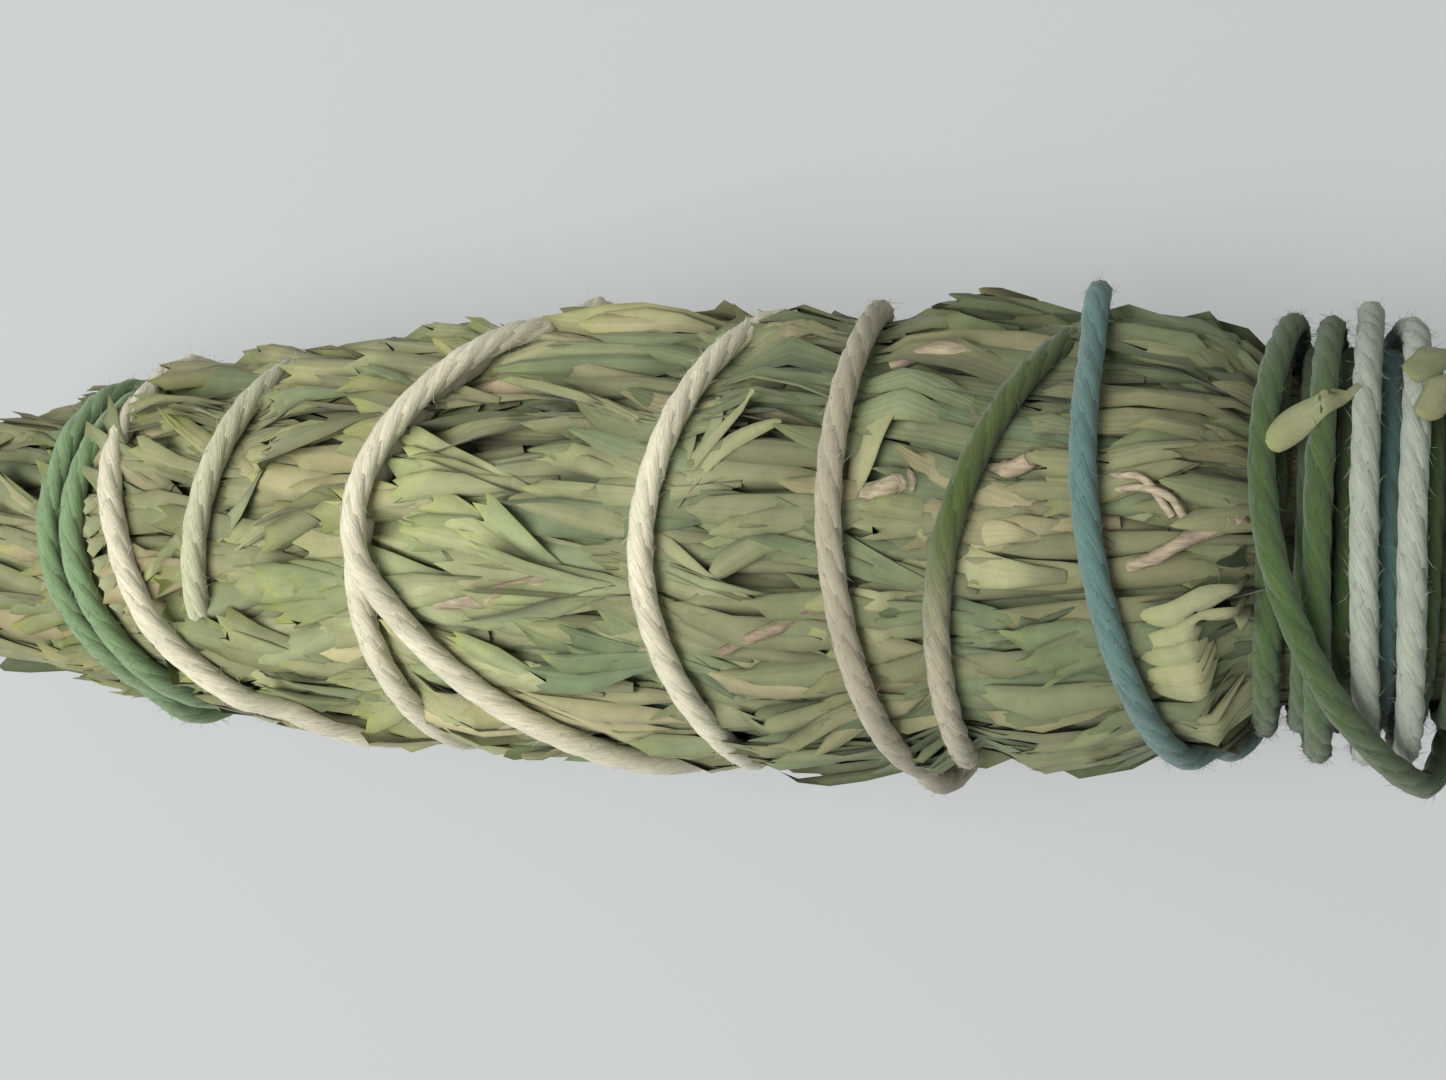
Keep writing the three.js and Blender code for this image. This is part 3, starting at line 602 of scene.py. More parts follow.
def fuzz(name, start, end, draw):
    """Loose fibres that stand off the wool, most of them lying along it."""
    count = int((end - start) * HAIRS_PER_TURN)
    turns = np.sort(draw.uniform(start, end, count))
    middle, ahead, outward = yarn_frame(turns)
    beside = np.cross(ahead, outward)
    around = draw.normal(0, 1.3, count)[:, None]
    away = outward * np.cos(around) + beside * np.sin(around)
    way = np.where(draw.random(count) < 0.5, 1, -1)[:, None]
    along = way * ahead + np.cross(ahead, away) * draw.normal(0, 0.5, count)[:, None]
    along += away * draw.uniform(-0.05, 0.55, count)[:, None]
    rotations = []
    for direction, lift in zip(along, away):
        x_axis = Vector(direction).normalized()
        y_axis = Vector(lift).cross(x_axis).normalized()
        rotations.append(Matrix((x_axis, y_axis, x_axis.cross(y_axis))).transposed().to_euler())
    length = draw.uniform(*HAIR_LENGTHS, count)
    places = middle + away * YARN_RADIUS * draw.uniform(0.78, 0.95, count)[:, None]
    length = np.where(places[:, 2] < LOW_FIBRES, PRESSED_SHORT * length, length)
    dye = np.hstack([dye_at(turns) * draw.uniform(1.0, 1.5, count)[:, None], np.ones((count, 1))])
    columns = [
        ("form", "INT", draw.integers(0, HAIR_FORMS, count)),
        ("turn", "FLOAT_VECTOR", rotations),
        ("size", "FLOAT_VECTOR", np.repeat(length[:, None], 3, 1)),
        ("dye", "FLOAT_COLOR", dye),
    ]
    return planted(name, places.tolist(), columns, hair_forms, wool)


wool = wool_material()
plies = ply_tree()
hair_draw = np.random.default_rng(73)
hair_meshes = [hair_mesh(f"hair_form_{i}", hair_draw) for i in range(HAIR_FORMS)]
hair_forms = forms_collection("hair_forms", hair_meshes)
start = 0.0
for name, end, slot in DYED_LENGTHS:
    turns = np.linspace(start, end + TUCKED, round((end - start) / PATH_STEP_TURNS))
    path = bpy.data.meshes.new(name)
    middle, _, outward = yarn_frame(turns)
    path.from_pydata(middle.tolist(), [(i, i + 1) for i in range(len(turns) - 1)], [])
    for label, kind, values in [
        ("dye", "FLOAT_COLOR", np.hstack([dye_at(turns), np.ones((len(turns), 1))])),
        ("outward", "FLOAT_VECTOR", outward),
        ("along", "FLOAT", np.interp(turns, laid[:, 0], wound_length)),
    ]:
        path.attributes.new(label, kind, "POINT").data.foreach_set(FIELDS[kind], values.ravel())
    strand = grown("strand", path, plies, {
        "Ply radius": PLY_RADIUS, "Ply offset": PLY_OFFSET, "Pitch": PLY_PITCH, "Step": PLY_STEP,
        "Fluff": FLUFF, "Fluff scale": FLUFF_SCALE, "Wool": wool})
    fibres = fuzz("fuzz", start, end - FUZZ_STOPS_SHORT, hair_draw)
    yarn = joined("wool_" + name[5:], [strand, fibres])
    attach(yarn, "root")
    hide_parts(name)
    start = end

# The sprigs: dried sagebrush shoots laid side by side, each carrying tufts of grey-felted, wedge-shaped
# leaves that end in three teeth. Drying has folded, curled and twisted them, and the yarn presses them in.
OUTER_SPRIGS = 10
UNEVENNESS = 0.16
HEART_RADIUS = 0.0093
HEART_DEPTH = 0.0046
MASS_DEPTH = 0.0046
BOUND_DEPTH = 0.0062

sprig_edges = [(i + UNEVENNESS * math.sin(2.4 * (i % OUTER_SPRIGS) + 0.5)) * TURN / OUTER_SPRIGS
               for i in range(OUTER_SPRIGS + 1)]

LEAF_ROWS = (0, 0.22, 0.45, 0.68, 0.88, 1)
LEAF_COLUMNS = (-1, -0.5, 0, 0.5, 1)
WEDGE_TIP = (0.95, 0.87, 1.0, 0.87, 0.95)
STRAP_TIP = (0.93, 0.98, 1.0, 0.98, 0.93)
STRAP_ROUND_FROM, STRAP_ROUND_OVER = 0.68, 0.345
STRAP_CUPPED, FINE_CUPPED = 1.45, 0.6
LEAF_THICKNESS = 0.1
FINE_TIP = (0.985, 0.995, 1.0, 0.995, 0.985)
FINE_ROWS = (0, 0.1, 0.2, 0.3, 0.4, 0.5, 0.6, 0.7, 0.79, 0.87, 0.94, 1)
FINE_BENDS = (0.3, -0.3, 2.0, -2.0, 1.0, -1.0, 0.0)
WEDGE_FORMS = 12
STRAP_FORMS = 14


def leaf_form(draw, strap, bend, rows):
    """One leaf, a unit long along -X and a unit wide, its root at the origin and its upper side up."""
    root_width = draw.uniform(0.22, 0.36)
    fullest = draw.uniform(0.4, 0.6) if strap else draw.uniform(0.75, 0.95)
    fold = draw.uniform(0.5, 1.15) * (1 if draw.random() < 0.35 else -1)
    if strap:
        fold *= FINE_CUPPED if rows is FINE_ROWS else STRAP_CUPPED
    lift = draw.uniform(-0.15, 0.08)
    sway = bend + draw.normal(0, 0.55 if strap else 0.35)
    twist = draw.normal(0, 0.18)
    ripple = draw.uniform(0.0, 0.05)
    wave = draw.uniform(0, TURN)
    tooth = draw.uniform(0.5, 1.2, len(WEDGE_TIP))
    reach = (STRAP_TIP if strap else WEDGE_TIP) if rows is LEAF_ROWS else FINE_TIP
    swing = draw.normal(0, 0.1)
    top, bottom = [], []
    for row in rows:
        width = root_width + (1 - root_width) * float(smoothstep(0, fullest, row))
        if strap and row > STRAP_ROUND_FROM:
            width *= math.sqrt(1 - ((row - STRAP_ROUND_FROM) / STRAP_ROUND_OVER) ** 2)
        for k, column in enumerate(LEAF_COLUMNS):
            s = 1 - (1 - reach[k]) * tooth[k] if row == 1 else row
            y = column / 2 * width * (0.9 if row == 1 else 1)
            z = fold * y * y / max(width, 0.4) + ripple * column * math.sin(8 * s + wave)
            turned = twist * s
            y, z = y * math.cos(turned) - z * math.sin(turned), y * math.sin(turned) + z * math.cos(turned)
            y += sway * s * s + swing * math.sin(TURN * s)
            z += lift * s * s
            edge = abs(column) == 1 or row in (0, 1)
            thick = 0 if edge else LEAF_THICKNESS / 2 * (1.1 - 0.4 * abs(column)) * (1.2 - 0.6 * s)
            rib = 0.03 * (1 - s) if column == 0 else 0
            top.append((-s, y, z + thick - rib))
            bottom.append((-s, y, z - thick - rib))
    return top, bottom


def leaf_mesh(name, draw, strap, bend=0.0, rows=LEAF_ROWS):
    """A leaf with an upper and an under side that meet at a sharp rim."""
    top, bottom = leaf_form(draw, strap, bend, rows)
    wide = len(LEAF_COLUMNS)
    mesh = bmesh.new()
    across = mesh.verts.layers.float.new("across")
    reach = mesh.verts.layers.float.new("reach")
    upper = [mesh.verts.new(p) for p in top]
    lower = []
    for k, p in enumerate(bottom):
        row, column = divmod(k, wide)
        on_edge = column in (0, wide - 1) or row in (0, len(rows) - 1)
        lower.append(upper[k] if on_edge else mesh.verts.new(p))
    rim = {vert for vert in upper if vert in lower}
    for verts in (upper, lower):
        for k, vert in enumerate(verts):
            vert[across] = LEAF_COLUMNS[k % wide]
            vert[reach] = rows[k // wide]
    for row in range(len(rows) - 1):
        for column in range(wide - 1):
            a = row * wide + column
            loop = [a, a + wide, a + wide + 1, a + 1]
            inner = [k for k in loop if upper[k] is not lower[k]]
            corners = [loop]
            if len(inner) == 1:
                first = loop.index(inner[0])
                turned = loop[first:] + loop[:first]
                corners = [turned[:3], [turned[0], turned[2], turned[3]]]
            for face in corners:
                mesh.faces.new([upper[k] for k in face])
                mesh.faces.new([lower[k] for k in reversed(face)])
    for edge in mesh.edges:
        edge.smooth = not all(vert in rim for vert in edge.verts)
    return mesh_data(name, mesh)


leaf_draw = np.random.default_rng(41)
leaf_meshes = [leaf_mesh(f"leaf_form_{i:02d}", leaf_draw, i >= WEDGE_FORMS)
               for i in range(WEDGE_FORMS + STRAP_FORMS)]
leaf_meshes += [leaf_mesh(f"leaf_form_{i:02d}", leaf_draw, True, bend, FINE_ROWS)
                for i, bend in enumerate(FINE_BENDS, WEDGE_FORMS + STRAP_FORMS)]
leaf_forms = forms_collection("leaf_forms", leaf_meshes)

LEAF_COLOURS = [
    (0.0, (0.165, 0.225, 0.13)), (0.3, (0.24, 0.28, 0.15)), (0.6, (0.335, 0.335, 0.18)),
    (0.85, (0.42, 0.375, 0.215)), (1.0, (0.47, 0.375, 0.24)),
]
FRESH_EDGE = (0.30, 0.34, 0.05, 1)
FELT_SCALE = 5200.0
MOTTLE_SCALE = 420.0
RIB_LIGHTER = 0.08
PAINTED_RIM_SHADE = 0.34
PAINTED_ROOT_SHADE = 0.6
VEINS = 14.0


def leaf_material():
    """Felted leaf: fresher at its edge and tip, paler on its rib, and darker at its rim and root with
    painted shade of the gaps between leaves and of the leaves over its root.
    """
    n = MaterialBuilder("sagebrush_leaf")
    reach = n.read("reach")
    across = n.read("across")
    off_rib = n.math("ABSOLUTE", across)
    place = n.add("ShaderNodeTexCoord").outputs["Object"]
    felt = n.noise(place, FELT_SCALE, 3.0)
    mottle = n.noise(place, MOTTLE_SCALE, 3.0)
    margin = n.times(n.math("POWER", off_rib, 4.0), reach)
    edge = n.math("MAXIMUM", margin, n.math("POWER", reach, 6.0))
    green = n.times(edge, n.times(mottle, n.read("fresh")))
    tinted = n.mixed(green, n.ramp(n.read("tone"), LEAF_COLOURS), FRESH_EDGE)
    blade = n.math("MINIMUM", n.times(off_rib, 7.0), 1.0)
    rib = n.times(n.math("SUBTRACT", 1.0, blade), RIB_LIGHTER)
    lighter = n.plus(rib, n.spread(mottle, 0.88, 1.1))
    felted = n.times(lighter, n.spread(felt, 0.94, 1.06))
    # Painted shade: the rim darkens as the gaps between leaves would, and the root as the leaves lying over
    # it would.
    rim = n.times(n.math("POWER", off_rib, 5.0), PAINTED_RIM_SHADE)
    painted_shade = n.times(n.math("SUBTRACT", 1.0, rim), n.spread(reach, PAINTED_ROOT_SHADE, 1.0, 0.0, 0.4))
    # The shade value that each leaf carries is partly its own tone and partly painted shade of where it
    # lies.
    light = n.times(n.times(felted, n.read("shade")), painted_shade)
    veins = n.math("SINE", n.times(across, VEINS))
    height = n.plus(n.times(veins, 0.3), felt)
    return n.finished(n.scaled(tinted, light), height, 0.3, 0.00012, Roughness=0.85,
                      Specular_IOR_Level=0.12, Sheen_Weight=0.08, Sheen_Roughness=0.5)


yarn_turns = np.arange(0, DYED_LENGTHS[-1][1], YARN_STEP_TURNS)
yarn_places = yarn_point(yarn_turns)
yarn_radii = np.interp(yarn_turns, laid[:, 0], laid[:, 3])
yarn_tree = kdtree.KDTree(len(yarn_places))
for i, place in enumerate(yarn_places):
    yarn_tree.insert(place, i)
yarn_tree.balance()

# Where the leaves have sprung out over the yarn again: its turns there and how far they stand over it
SPRUNG_OVER = [
    (10.02, 10.11, 0.003), (10.31, 10.47, 0.003), (12.98, 13.185, 0.003), (13.2, 13.5, 0.0006),
    (8.02, 8.07, 0.0025), (8.4, 8.5, 0.002), (7.03, 7.1, 0.0025), (15.41, 15.5, 0.002), (9.4, 9.5, 0.002),
    (14.0, 14.07, 0.003),
]
SPRUNG_EDGE = 0.012
buried = np.zeros(len(yarn_turns))
for from_turn, to_turn, height in SPRUNG_OVER:
    share = within((from_turn - SPRUNG_EDGE, from_turn + SPRUNG_EDGE),
                   (to_turn - SPRUNG_EDGE, to_turn + SPRUNG_EDGE), yarn_turns)
    buried = np.maximum(buried, share * height)

PRESS_REACH = 0.009
PRESS_HALF_WIDTH = 0.001
PRESS_CLEARANCE = 0.00005
PRESS_SLOPE = 0.34
PRESS_CURVE = 42
PRESS_SPREAD = 0.0007
BOUND_LEAF_DEPTH = 0.0059
TIGHT_FROM = (BINDING_FROM_X - 0.0025, BINDING_FROM_X + 0.0005)
TIGHT_TO = (BINDING_TO_X, BINDING_TO_X + 0.003)
LOWEST_LEAF = 0.00015


def pressed_under_yarn(places):
    """Leaves that meet the yarn are pushed in under it, and rise again beside it."""
    radius = np.hypot(places[:, 1], places[:, 2] - AXIS_HEIGHT)
    x = places[:, 0]
    tight = within(TIGHT_FROM, TIGHT_TO, x)
    limit = outline(x) - BOUND_LEAF_DEPTH * tight + (1 - tight)
    for i, place in enumerate(places):
        _, index, distance = yarn_tree.find(place)
        if distance > PRESS_REACH:
            continue
        rise = radius[i] - yarn_radii[index]
        beside = math.sqrt(max(0.0, distance ** 2 - rise ** 2))
        free = max(0.0, beside - PRESS_HALF_WIDTH)
        under = yarn_radii[index] - YARN_RADIUS - PRESS_CLEARANCE + buried[index]
        limit[i] = min(limit[i], under + PRESS_SLOPE * free + PRESS_CURVE * free ** 2)
    over = np.maximum(radius - limit + PRESS_SPREAD, 0)
    lowered = radius - over + PRESS_SPREAD * over / (over + PRESS_SPREAD)
    share = lowered / np.maximum(radius, 1e-6)
    result = places.copy()
    result[:, 1] *= share
    result[:, 2] = AXIS_HEIGHT + (places[:, 2] - AXIS_HEIGHT) * share
    result[:, 2] = np.maximum(result[:, 2], LOWEST_LEAF)
    return result


def lifted_over_yarn(places):
    """Leaves that lie on top of the yarn rest on its strands."""
    result = places.copy()
    for i, place in enumerate(places):
        radius = math.hypot(place[1], place[2] - AXIS_HEIGHT)
        needed = radius
        for _, index, distance in yarn_tree.find_range(place, 2 * YARN_RADIUS):
            beside = distance ** 2 - (radius - yarn_radii[index]) ** 2
            if beside < YARN_RADIUS ** 2:
                needed = max(needed, yarn_radii[index] + math.sqrt(YARN_RADIUS ** 2 - max(0, beside)))
        result[i, 1] *= needed / radius
        result[i, 2] = AXIS_HEIGHT + (place[2] - AXIS_HEIGHT) * needed / radius
    return result


SMALLEST_WRAP = 0.005
INNERMOST = 0.0004
LAST_OUTLINE_X = TIP_X + 0.0002
STEEPEST = 0.9


def wrap_round(piece, over_yarn):
    """Lays leaves planted on a flat strip onto the bunch: each bends round it and along its outline."""
    flat = np.empty((len(piece.data.vertices), 3))
    home = np.empty_like(flat)
    piece.data.vertices.foreach_get("co", flat.ravel())
    piece.data.attributes["home"].data.foreach_get("vector", home.ravel())
    root_x, root_angle, depth = home.T
    surface = outline(np.maximum(flat[:, 0], LAST_OUTLINE_X))
    angle = root_angle + wander(flat[:, 0]) - wander(root_x)
    angle -= flat[:, 1] / np.maximum(surface, SMALLEST_WRAP)
    radius = np.maximum(surface - depth + flat[:, 2], INNERMOST)
    fitted = lifted_over_yarn if over_yarn else pressed_under_yarn
    piece.data.vertices.foreach_set("co", fitted(at(flat[:, 0], angle, radius)).ravel())
    piece.data.update()
    for label in ("home", "turn", "size", "form"):
        piece.data.attributes.remove(piece.data.attributes[label])


def foliage(name, leaves, finish, over_yarn=False):
    """Leaves given by root, depth at root and tip, length, width, yaw, roll, form and colour."""
    rotations, sizes, homes, places = [], [], [], []
    for leaf in leaves:
        rise = (leaf["depth"] - leaf["tip_depth"]) / leaf["length"]
        pitch = math.asin(min(STEEPEST, max(-STEEPEST, rise)))
        rotations.append((leaf["roll"], pitch, leaf["yaw"]))
        sizes.append((leaf["length"], leaf["width"], leaf["width"]))
        homes.append((leaf["x"], leaf["angle"], leaf["depth"]))
        places.append((leaf["x"], 0, 0))
    columns = [("form", "INT", [leaf["form"] for leaf in leaves])]
    for label, values in (("turn", rotations), ("size", sizes), ("home", homes)):
        columns.append((label, "FLOAT_VECTOR", values))
    for label in ("tone", "shade", "fresh"):
        columns.append((label, "FLOAT", [leaf[label] for leaf in leaves]))
    piece = planted(name, places, columns, leaf_forms, finish)
    wrap_round(piece, over_yarn)
    return piece


sagebrush = leaf_material()
LINING_ROWS, LAID_ROWS, FAN_ROWS = (0.086, -0.076), (0.084, -0.081), (0.08, -0.079)
LINING_PITCH = 0.0044
LINING_SPACING = 0.0033
TIP_MARGIN = 0.001
SHORTEST_LEAF = 0.007
ROW_PITCH = 0.0074
STRAP_ROW_PITCH = 0.0115
ROW_SPACING = 0.0032
FAN_PITCH = 0.009
FAN_SPACING = 0.0095
FAN_WIDTH = 0.0034
FAN_SPREAD = -0.6
NARROW_LEAVES_AT = (-0.03, 0.02)  # where broad leaves give way to the long narrow ones near the stems
# Painted shade darkens the leaves near the tip; near the stems the darkening is partly painted shade and
# partly the leaves' own darker colour.
BUTT_DARK_AND_SHADE, BUTT_DARK_AND_SHADE_AT = 0.37, (-0.012, 0.034)
PAINTED_TIP_SHADE, PAINTED_TIP_SHADE_AT = 0.31, (-0.042, -0.01)
GREENER_BUTT = 0.16
GREENER_TIP, GREENER_TIP_AT = 0.18, (-0.088, -0.074)
MEAN_TINT = 0.57


def combed(x, angle):
    """The way that the leaves lie, a turn off the stick's own line that changes from place to place."""
    loose = 1 - 0.6 * float(smoothstep(0.0, 0.03, x))
    return loose * (0.16 * math.sin(2 * angle + x / 0.016) + 0.12 * math.sin(5 * angle - x / 0.011 + 1.3))


def picked_form(draw, narrow):
    """A leaf's form, narrow as often as is said."""
    if draw.random() < narrow:
        return int(WEDGE_FORMS + draw.integers(STRAP_FORMS))
    return int(draw.integers(WEDGE_FORMS))


def reaching(x, length):
    """Leaves near the tip are short enough to end there."""
    return min(length, max(x - TIP_X - TIP_MARGIN, SHORTEST_LEAF))


def lining_leaf(draw, x, angle, side):
    """A flat broad leaf deep in the bunch, which backs the leaves over it and is darkened with painted shade
    of them, seen in the gaps between them.
    """
    return dict(
        x=x, angle=angle, length=reaching(x, draw.uniform(0.016, 0.021)),
        width=draw.uniform(0.0046, 0.0062),
        depth=draw.uniform(0.0045, 0.0048), tip_depth=draw.uniform(0.0029, 0.0033),
        yaw=combed(x, angle) + draw.normal(0, 0.05), roll=side * draw.normal(0.24, 0.1),
        # The lining's low shade value is painted shade of the leaves lying over it.
        tone=float(np.clip(draw.normal(0.42, 0.1), 0, 1)), shade=draw.uniform(0.6, 0.78),
        fresh=0.4, form=picked_form(draw, 0.3))


def near_butt(x):
    """0 towards the tip and 1 near the stems."""
    return float(smoothstep(*NARROW_LEAVES_AT, x))


def tint_at(x, angle):
    """Patches of greener and of more faded leaves."""
    greener = GREENER_BUTT * near_butt(x) + GREENER_TIP * (1 - float(smoothstep(*GREENER_TIP_AT, x)))
    patches = 0.1 * math.sin(3 * angle + x / 0.014) + 0.09 * math.sin(7 * angle - x / 0.008 + 2)
    return MEAN_TINT - greener + patches


def shade_at(x):
    """Leaves are darker near the stems, partly in their own colour and partly with painted shade, and darker
    near the tip with painted shade alone.
    """
    toward_tip = 1 - float(smoothstep(*PAINTED_TIP_SHADE_AT, x))
    return (1 - BUTT_DARK_AND_SHADE * float(smoothstep(*BUTT_DARK_AND_SHADE_AT, x))) * (1 - PAINTED_TIP_SHADE * toward_tip)


def laid_leaf(draw, x, angle, side):
    """One leaf of a row: it overlaps its neighbour on one side, and the row nearer to the tip."""
    narrow = near_butt(x)
    return dict(
        x=x, angle=angle, length=reaching(x, draw.uniform(0.0145, 0.018) * (1 + 0.42 * narrow)),
        width=draw.uniform(0.0044, 0.0056) * (1 - 0.32 * narrow),
        depth=draw.uniform(0.0029, 0.0032), tip_depth=draw.uniform(0.0005, 0.0010),
        yaw=combed(x, angle) + draw.normal(0, 0.09 - 0.03 * narrow), roll=side * draw.normal(0.34, 0.1),
        tone=float(np.clip(tint_at(x, angle) + draw.normal(0, 0.13), 0, 1)),
        shade=draw.uniform(0.84, 1.06) * shade_at(x), fresh=draw.uniform(0.2, 1.4) * (1 - 0.75 * narrow),
        form=picked_form(draw, 0.2 + 0.75 * narrow))


def fan_leaves(draw, x, angle, side):
    """A tuft lying on top: its leaves share a root and a tint and fan towards the stick's tip."""
    narrow = near_butt(x)
    lean = combed(x, angle) + draw.normal(0, 0.24 - 0.08 * narrow)
    tint = tint_at(x, angle) + draw.normal(0, 0.1)
    count = int(draw.integers(3, 6))
    roll = 0.95 if draw.random() < 0.3 else 0.2
    leaves = []
    for k in range(count):
        place = (k + 0.5) / count - 0.5
        leaves.append(dict(
            x=x + draw.normal(0, 0.001), angle=angle + place * FAN_WIDTH / float(outline(x)),
            length=reaching(x, draw.uniform(0.012, 0.017) * (1 + 0.25 * narrow)),
            width=draw.uniform(0.003, 0.0044) * (1 - 0.2 * narrow),
            depth=draw.uniform(0.0016, 0.002), tip_depth=draw.uniform(-0.0009, 0.0006),
            yaw=lean + place * FAN_SPREAD + draw.normal(0, 0.06), roll=side * draw.normal(roll, 0.12),
            tone=float(np.clip(tint + draw.normal(0, 0.07), 0, 1)),
            shade=draw.uniform(0.92, 1.08) * shade_at(x), fresh=draw.uniform(0.5, 1.7) * (1 - 0.7 * narrow),
            form=picked_form(draw, 0.2 + 0.6 * narrow)))
    return leaves


BACKWARD_LEAVES = 9
BACKWARD_DEPTHS = (0.0045, 0.0115)
BACKWARD_WIDTH = 0.0038


def backward_leaf(draw, angle, depths, width):
    """A leaf of the stems' lowest part, which the binding has turned back over the cut."""
    x = draw.uniform(0.073, 0.079)
    depth = draw.uniform(*depths)
    return dict(
        x=x, angle=angle + float(wander(x)), length=draw.uniform(0.009, 0.0125),
        width=width * draw.uniform(0.8, 1.2), depth=depth, tip_depth=depth - draw.uniform(0.0003, 0.002),
        yaw=math.pi + draw.normal(0, 0.2), roll=draw.normal(0, 0.4), tone=draw.uniform(0.4, 0.8),
        shade=draw.uniform(0.6, 0.85), fresh=0.4, form=picked_form(draw, 0.6))


# The packed core's dark colours are painted shade of the deep gaps inside the bunch.
PACKED_SHADE_COLOURS = [(0.35, (0.12, 0.14, 0.08)), (0.7, (0.26, 0.27, 0.16))]
PACKED_GAP = 0.00005
SPRIG_CORE = np.linspace(0.0825, -0.074, 18)
CLEAR_OF_HEART = 1.08


def packed_material():
    """Leaves pressed into one another: dark with painted shade of the deep gaps between them, with paler
    edges, drawn out along the stick.
    """
    n = MaterialBuilder("packed_leaves")
    streaks = n.noise(n.along_stick(0.2), 900.0, 4.0)
    return n.finished(n.ramp(streaks, PACKED_SHADE_COLOURS), streaks, 0.8, 0.0006, Roughness=0.95)


packed = packed_material()


def packed_core(low, high, inside, outside, stations):
    """A long closed wedge of the bunch between two angles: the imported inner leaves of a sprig."""
    mesh = bmesh.new()
    rings = []
    for x in stations:
        inner, outer = float(inside(x)), float(outside(x))
        from_angle, to_angle = low + float(wander(x)), high + float(wander(x))
        room = to_angle - from_angle - 2 * PACKED_GAP / outer
        spots = [(from_angle + PACKED_GAP / inner, inner)]
        spots += [(from_angle + PACKED_GAP / outer + room * k / 4, outer) for k in range(5)]
        spots += [(to_angle - PACKED_GAP / inner, inner)]
        rings.append([mesh.verts.new(at(x, angle, radius)) for angle, radius in spots])
    for a, b in zip(rings, rings[1:]):
        for k in range(len(a)):
            j = (k + 1) % len(a)
            mesh.faces.new((a[k], a[j], b[j], b[k]))
    mesh.faces.new(rings[0])
    mesh.faces.new(list(reversed(rings[-1])))
    core = bpy.data.objects.new("packed", mesh_data("packed", mesh))
    core.data.materials.append(packed)
    scene.collection.objects.link(core)
    return core


BARK_FURROWS = 0.35
BARK_SCALE = 900.0
STALK_STOPS = 14
STALK_SIDES = 9
KNOT = 1.16
LOWEST_STALK = 0.0001
TWIGLET_TAPER = 0.75


def stalk_tree():
    """Tubes along paths, as thick as each path says, with furrowed sides."""
    n, given = new_tree("stalk", {"Furrows": "Float", "Bark scale": "Float", "Bark": "Material"})
    curve = n.out("GeometryNodeMeshToCurve", {"Mesh": given["Geometry"]})
    thick = n.named("thick", "FLOAT")
    tube = n.out("GeometryNodeCurveToMesh", {
        "Curve": curve, "Profile Curve": n.circle(STALK_SIDES, 1.0), "Scale": thick, "Fill Caps": True})
    stretched = n.vector("MULTIPLY", n.out("GeometryNodeInputPosition"), (0.2, 1.0, 1.0))
    furrows = n.noise(stretched, given["Bark scale"], 2.0)
    lift = n.times(n.math("SUBTRACT", furrows, 0.5), given["Furrows"])
    raised = n.scaled(n.out("GeometryNodeInputNormal"), n.times(lift, thick))
    return n.end(n.moved(tube, raised), given["Bark"])


def stalk_path(draw, marks, thickness, knots, taper):
    """Points along a stalk laid through marks of place, angle in degrees and depth, with its thickness."""
    marks = np.array(marks)
    t = np.linspace(0, len(marks) - 1, STALK_STOPS)
    x, degrees, depth = (np.interp(t, range(len(marks)), marks[:, k]) for k in range(3))
    for row in (x, degrees, depth):
        row[1:-1] = 0.25 * row[:-2] + 0.5 * row[1:-1] + 0.25 * row[2:]
    crooked = thickness * 0.2 * np.sin(np.linspace(0, 9, STALK_STOPS) + draw.uniform(0, TURN))
    surface = np.maximum(outline(x), SMALLEST_WRAP)
    thick = thickness * np.linspace(1, taper, STALK_STOPS)
    top = pressed_under_yarn(at(x, np.radians(degrees) + crooked / surface, surface - depth + thick))
    middle = np.array((0, 0, AXIS_HEIGHT))
    points = top - unit((top - middle) * (0, 1, 1)) * thick[:, None]
    for _ in range(knots):
        thick[int(draw.integers(2, STALK_STOPS - 1))] *= KNOT
    return points, thick


def stalk_piece(name, points, thick, tone):
    """A stalk along its points, with cut ends whose cores are told from their rims."""
    seeds = bpy.data.meshes.new(name)
    seeds.from_pydata(points.tolist(), [(k, k + 1) for k in range(len(points) - 1)], [])
    seeds.attributes.new("thick", "FLOAT", "POINT").data.foreach_set("value", thick)
    piece = grown(name, seeds, stalk, {"Furrows": BARK_FURROWS, "Bark scale": BARK_SCALE, "Bark": bark})
    mesh = bmesh.new()
    mesh.from_mesh(piece.data)
    core = mesh.verts.layers.float.new("core")
    tint = mesh.verts.layers.float.new("tone")
    ends = [face for face in mesh.faces if len(face.verts) > 4]
    for vert in bmesh.ops.poke(mesh, faces=ends)["verts"]:
        vert[core] = 1
    for vert in mesh.verts:
        vert[tint] = tone
        vert.co.z = max(vert.co.z, LOWEST_STALK)
    mesh.to_mesh(piece.data)
    mesh.free()
    piece.data.attributes.remove(piece.data.attributes["thick"])
    return piece


BARK_BROWN = (0.22, 0.165, 0.11, 1)
BARK_PALE = (0.38, 0.32, 0.22, 1)
WOOD_COLOURS = [(0, (0.34, 0.25, 0.15)), (1, (0.62, 0.56, 0.43))]
GROWTH_RINGS = 26.0


def bark_material():
    """Streaked bark, and on the cut ends paler wood with faint rings."""
    n = MaterialBuilder("sagebrush_bark")
    core = n.read("core")
    streaks = n.noise(n.along_stick(0.15), 2400.0, 4.0)
    side = n.scaled(n.mixed(n.read("tone"), BARK_BROWN, BARK_PALE), n.spread(streaks, 0.6, 1.15))
    waves = n.math("SINE", n.times(core, GROWTH_RINGS))
    rings = n.times(n.plus(waves, 1.0), 0.06)
    wood = n.ramp(n.plus(core, rings), WOOD_COLOURS)
    colour = n.mixed(n.math("GREATER_THAN", core, 0.1), side, wood)
    return n.finished(colour, streaks, 0.7, 0.0002, Roughness=0.9, Specular_IOR_Level=0.15)


stalk = stalk_tree()
bark = bark_material()

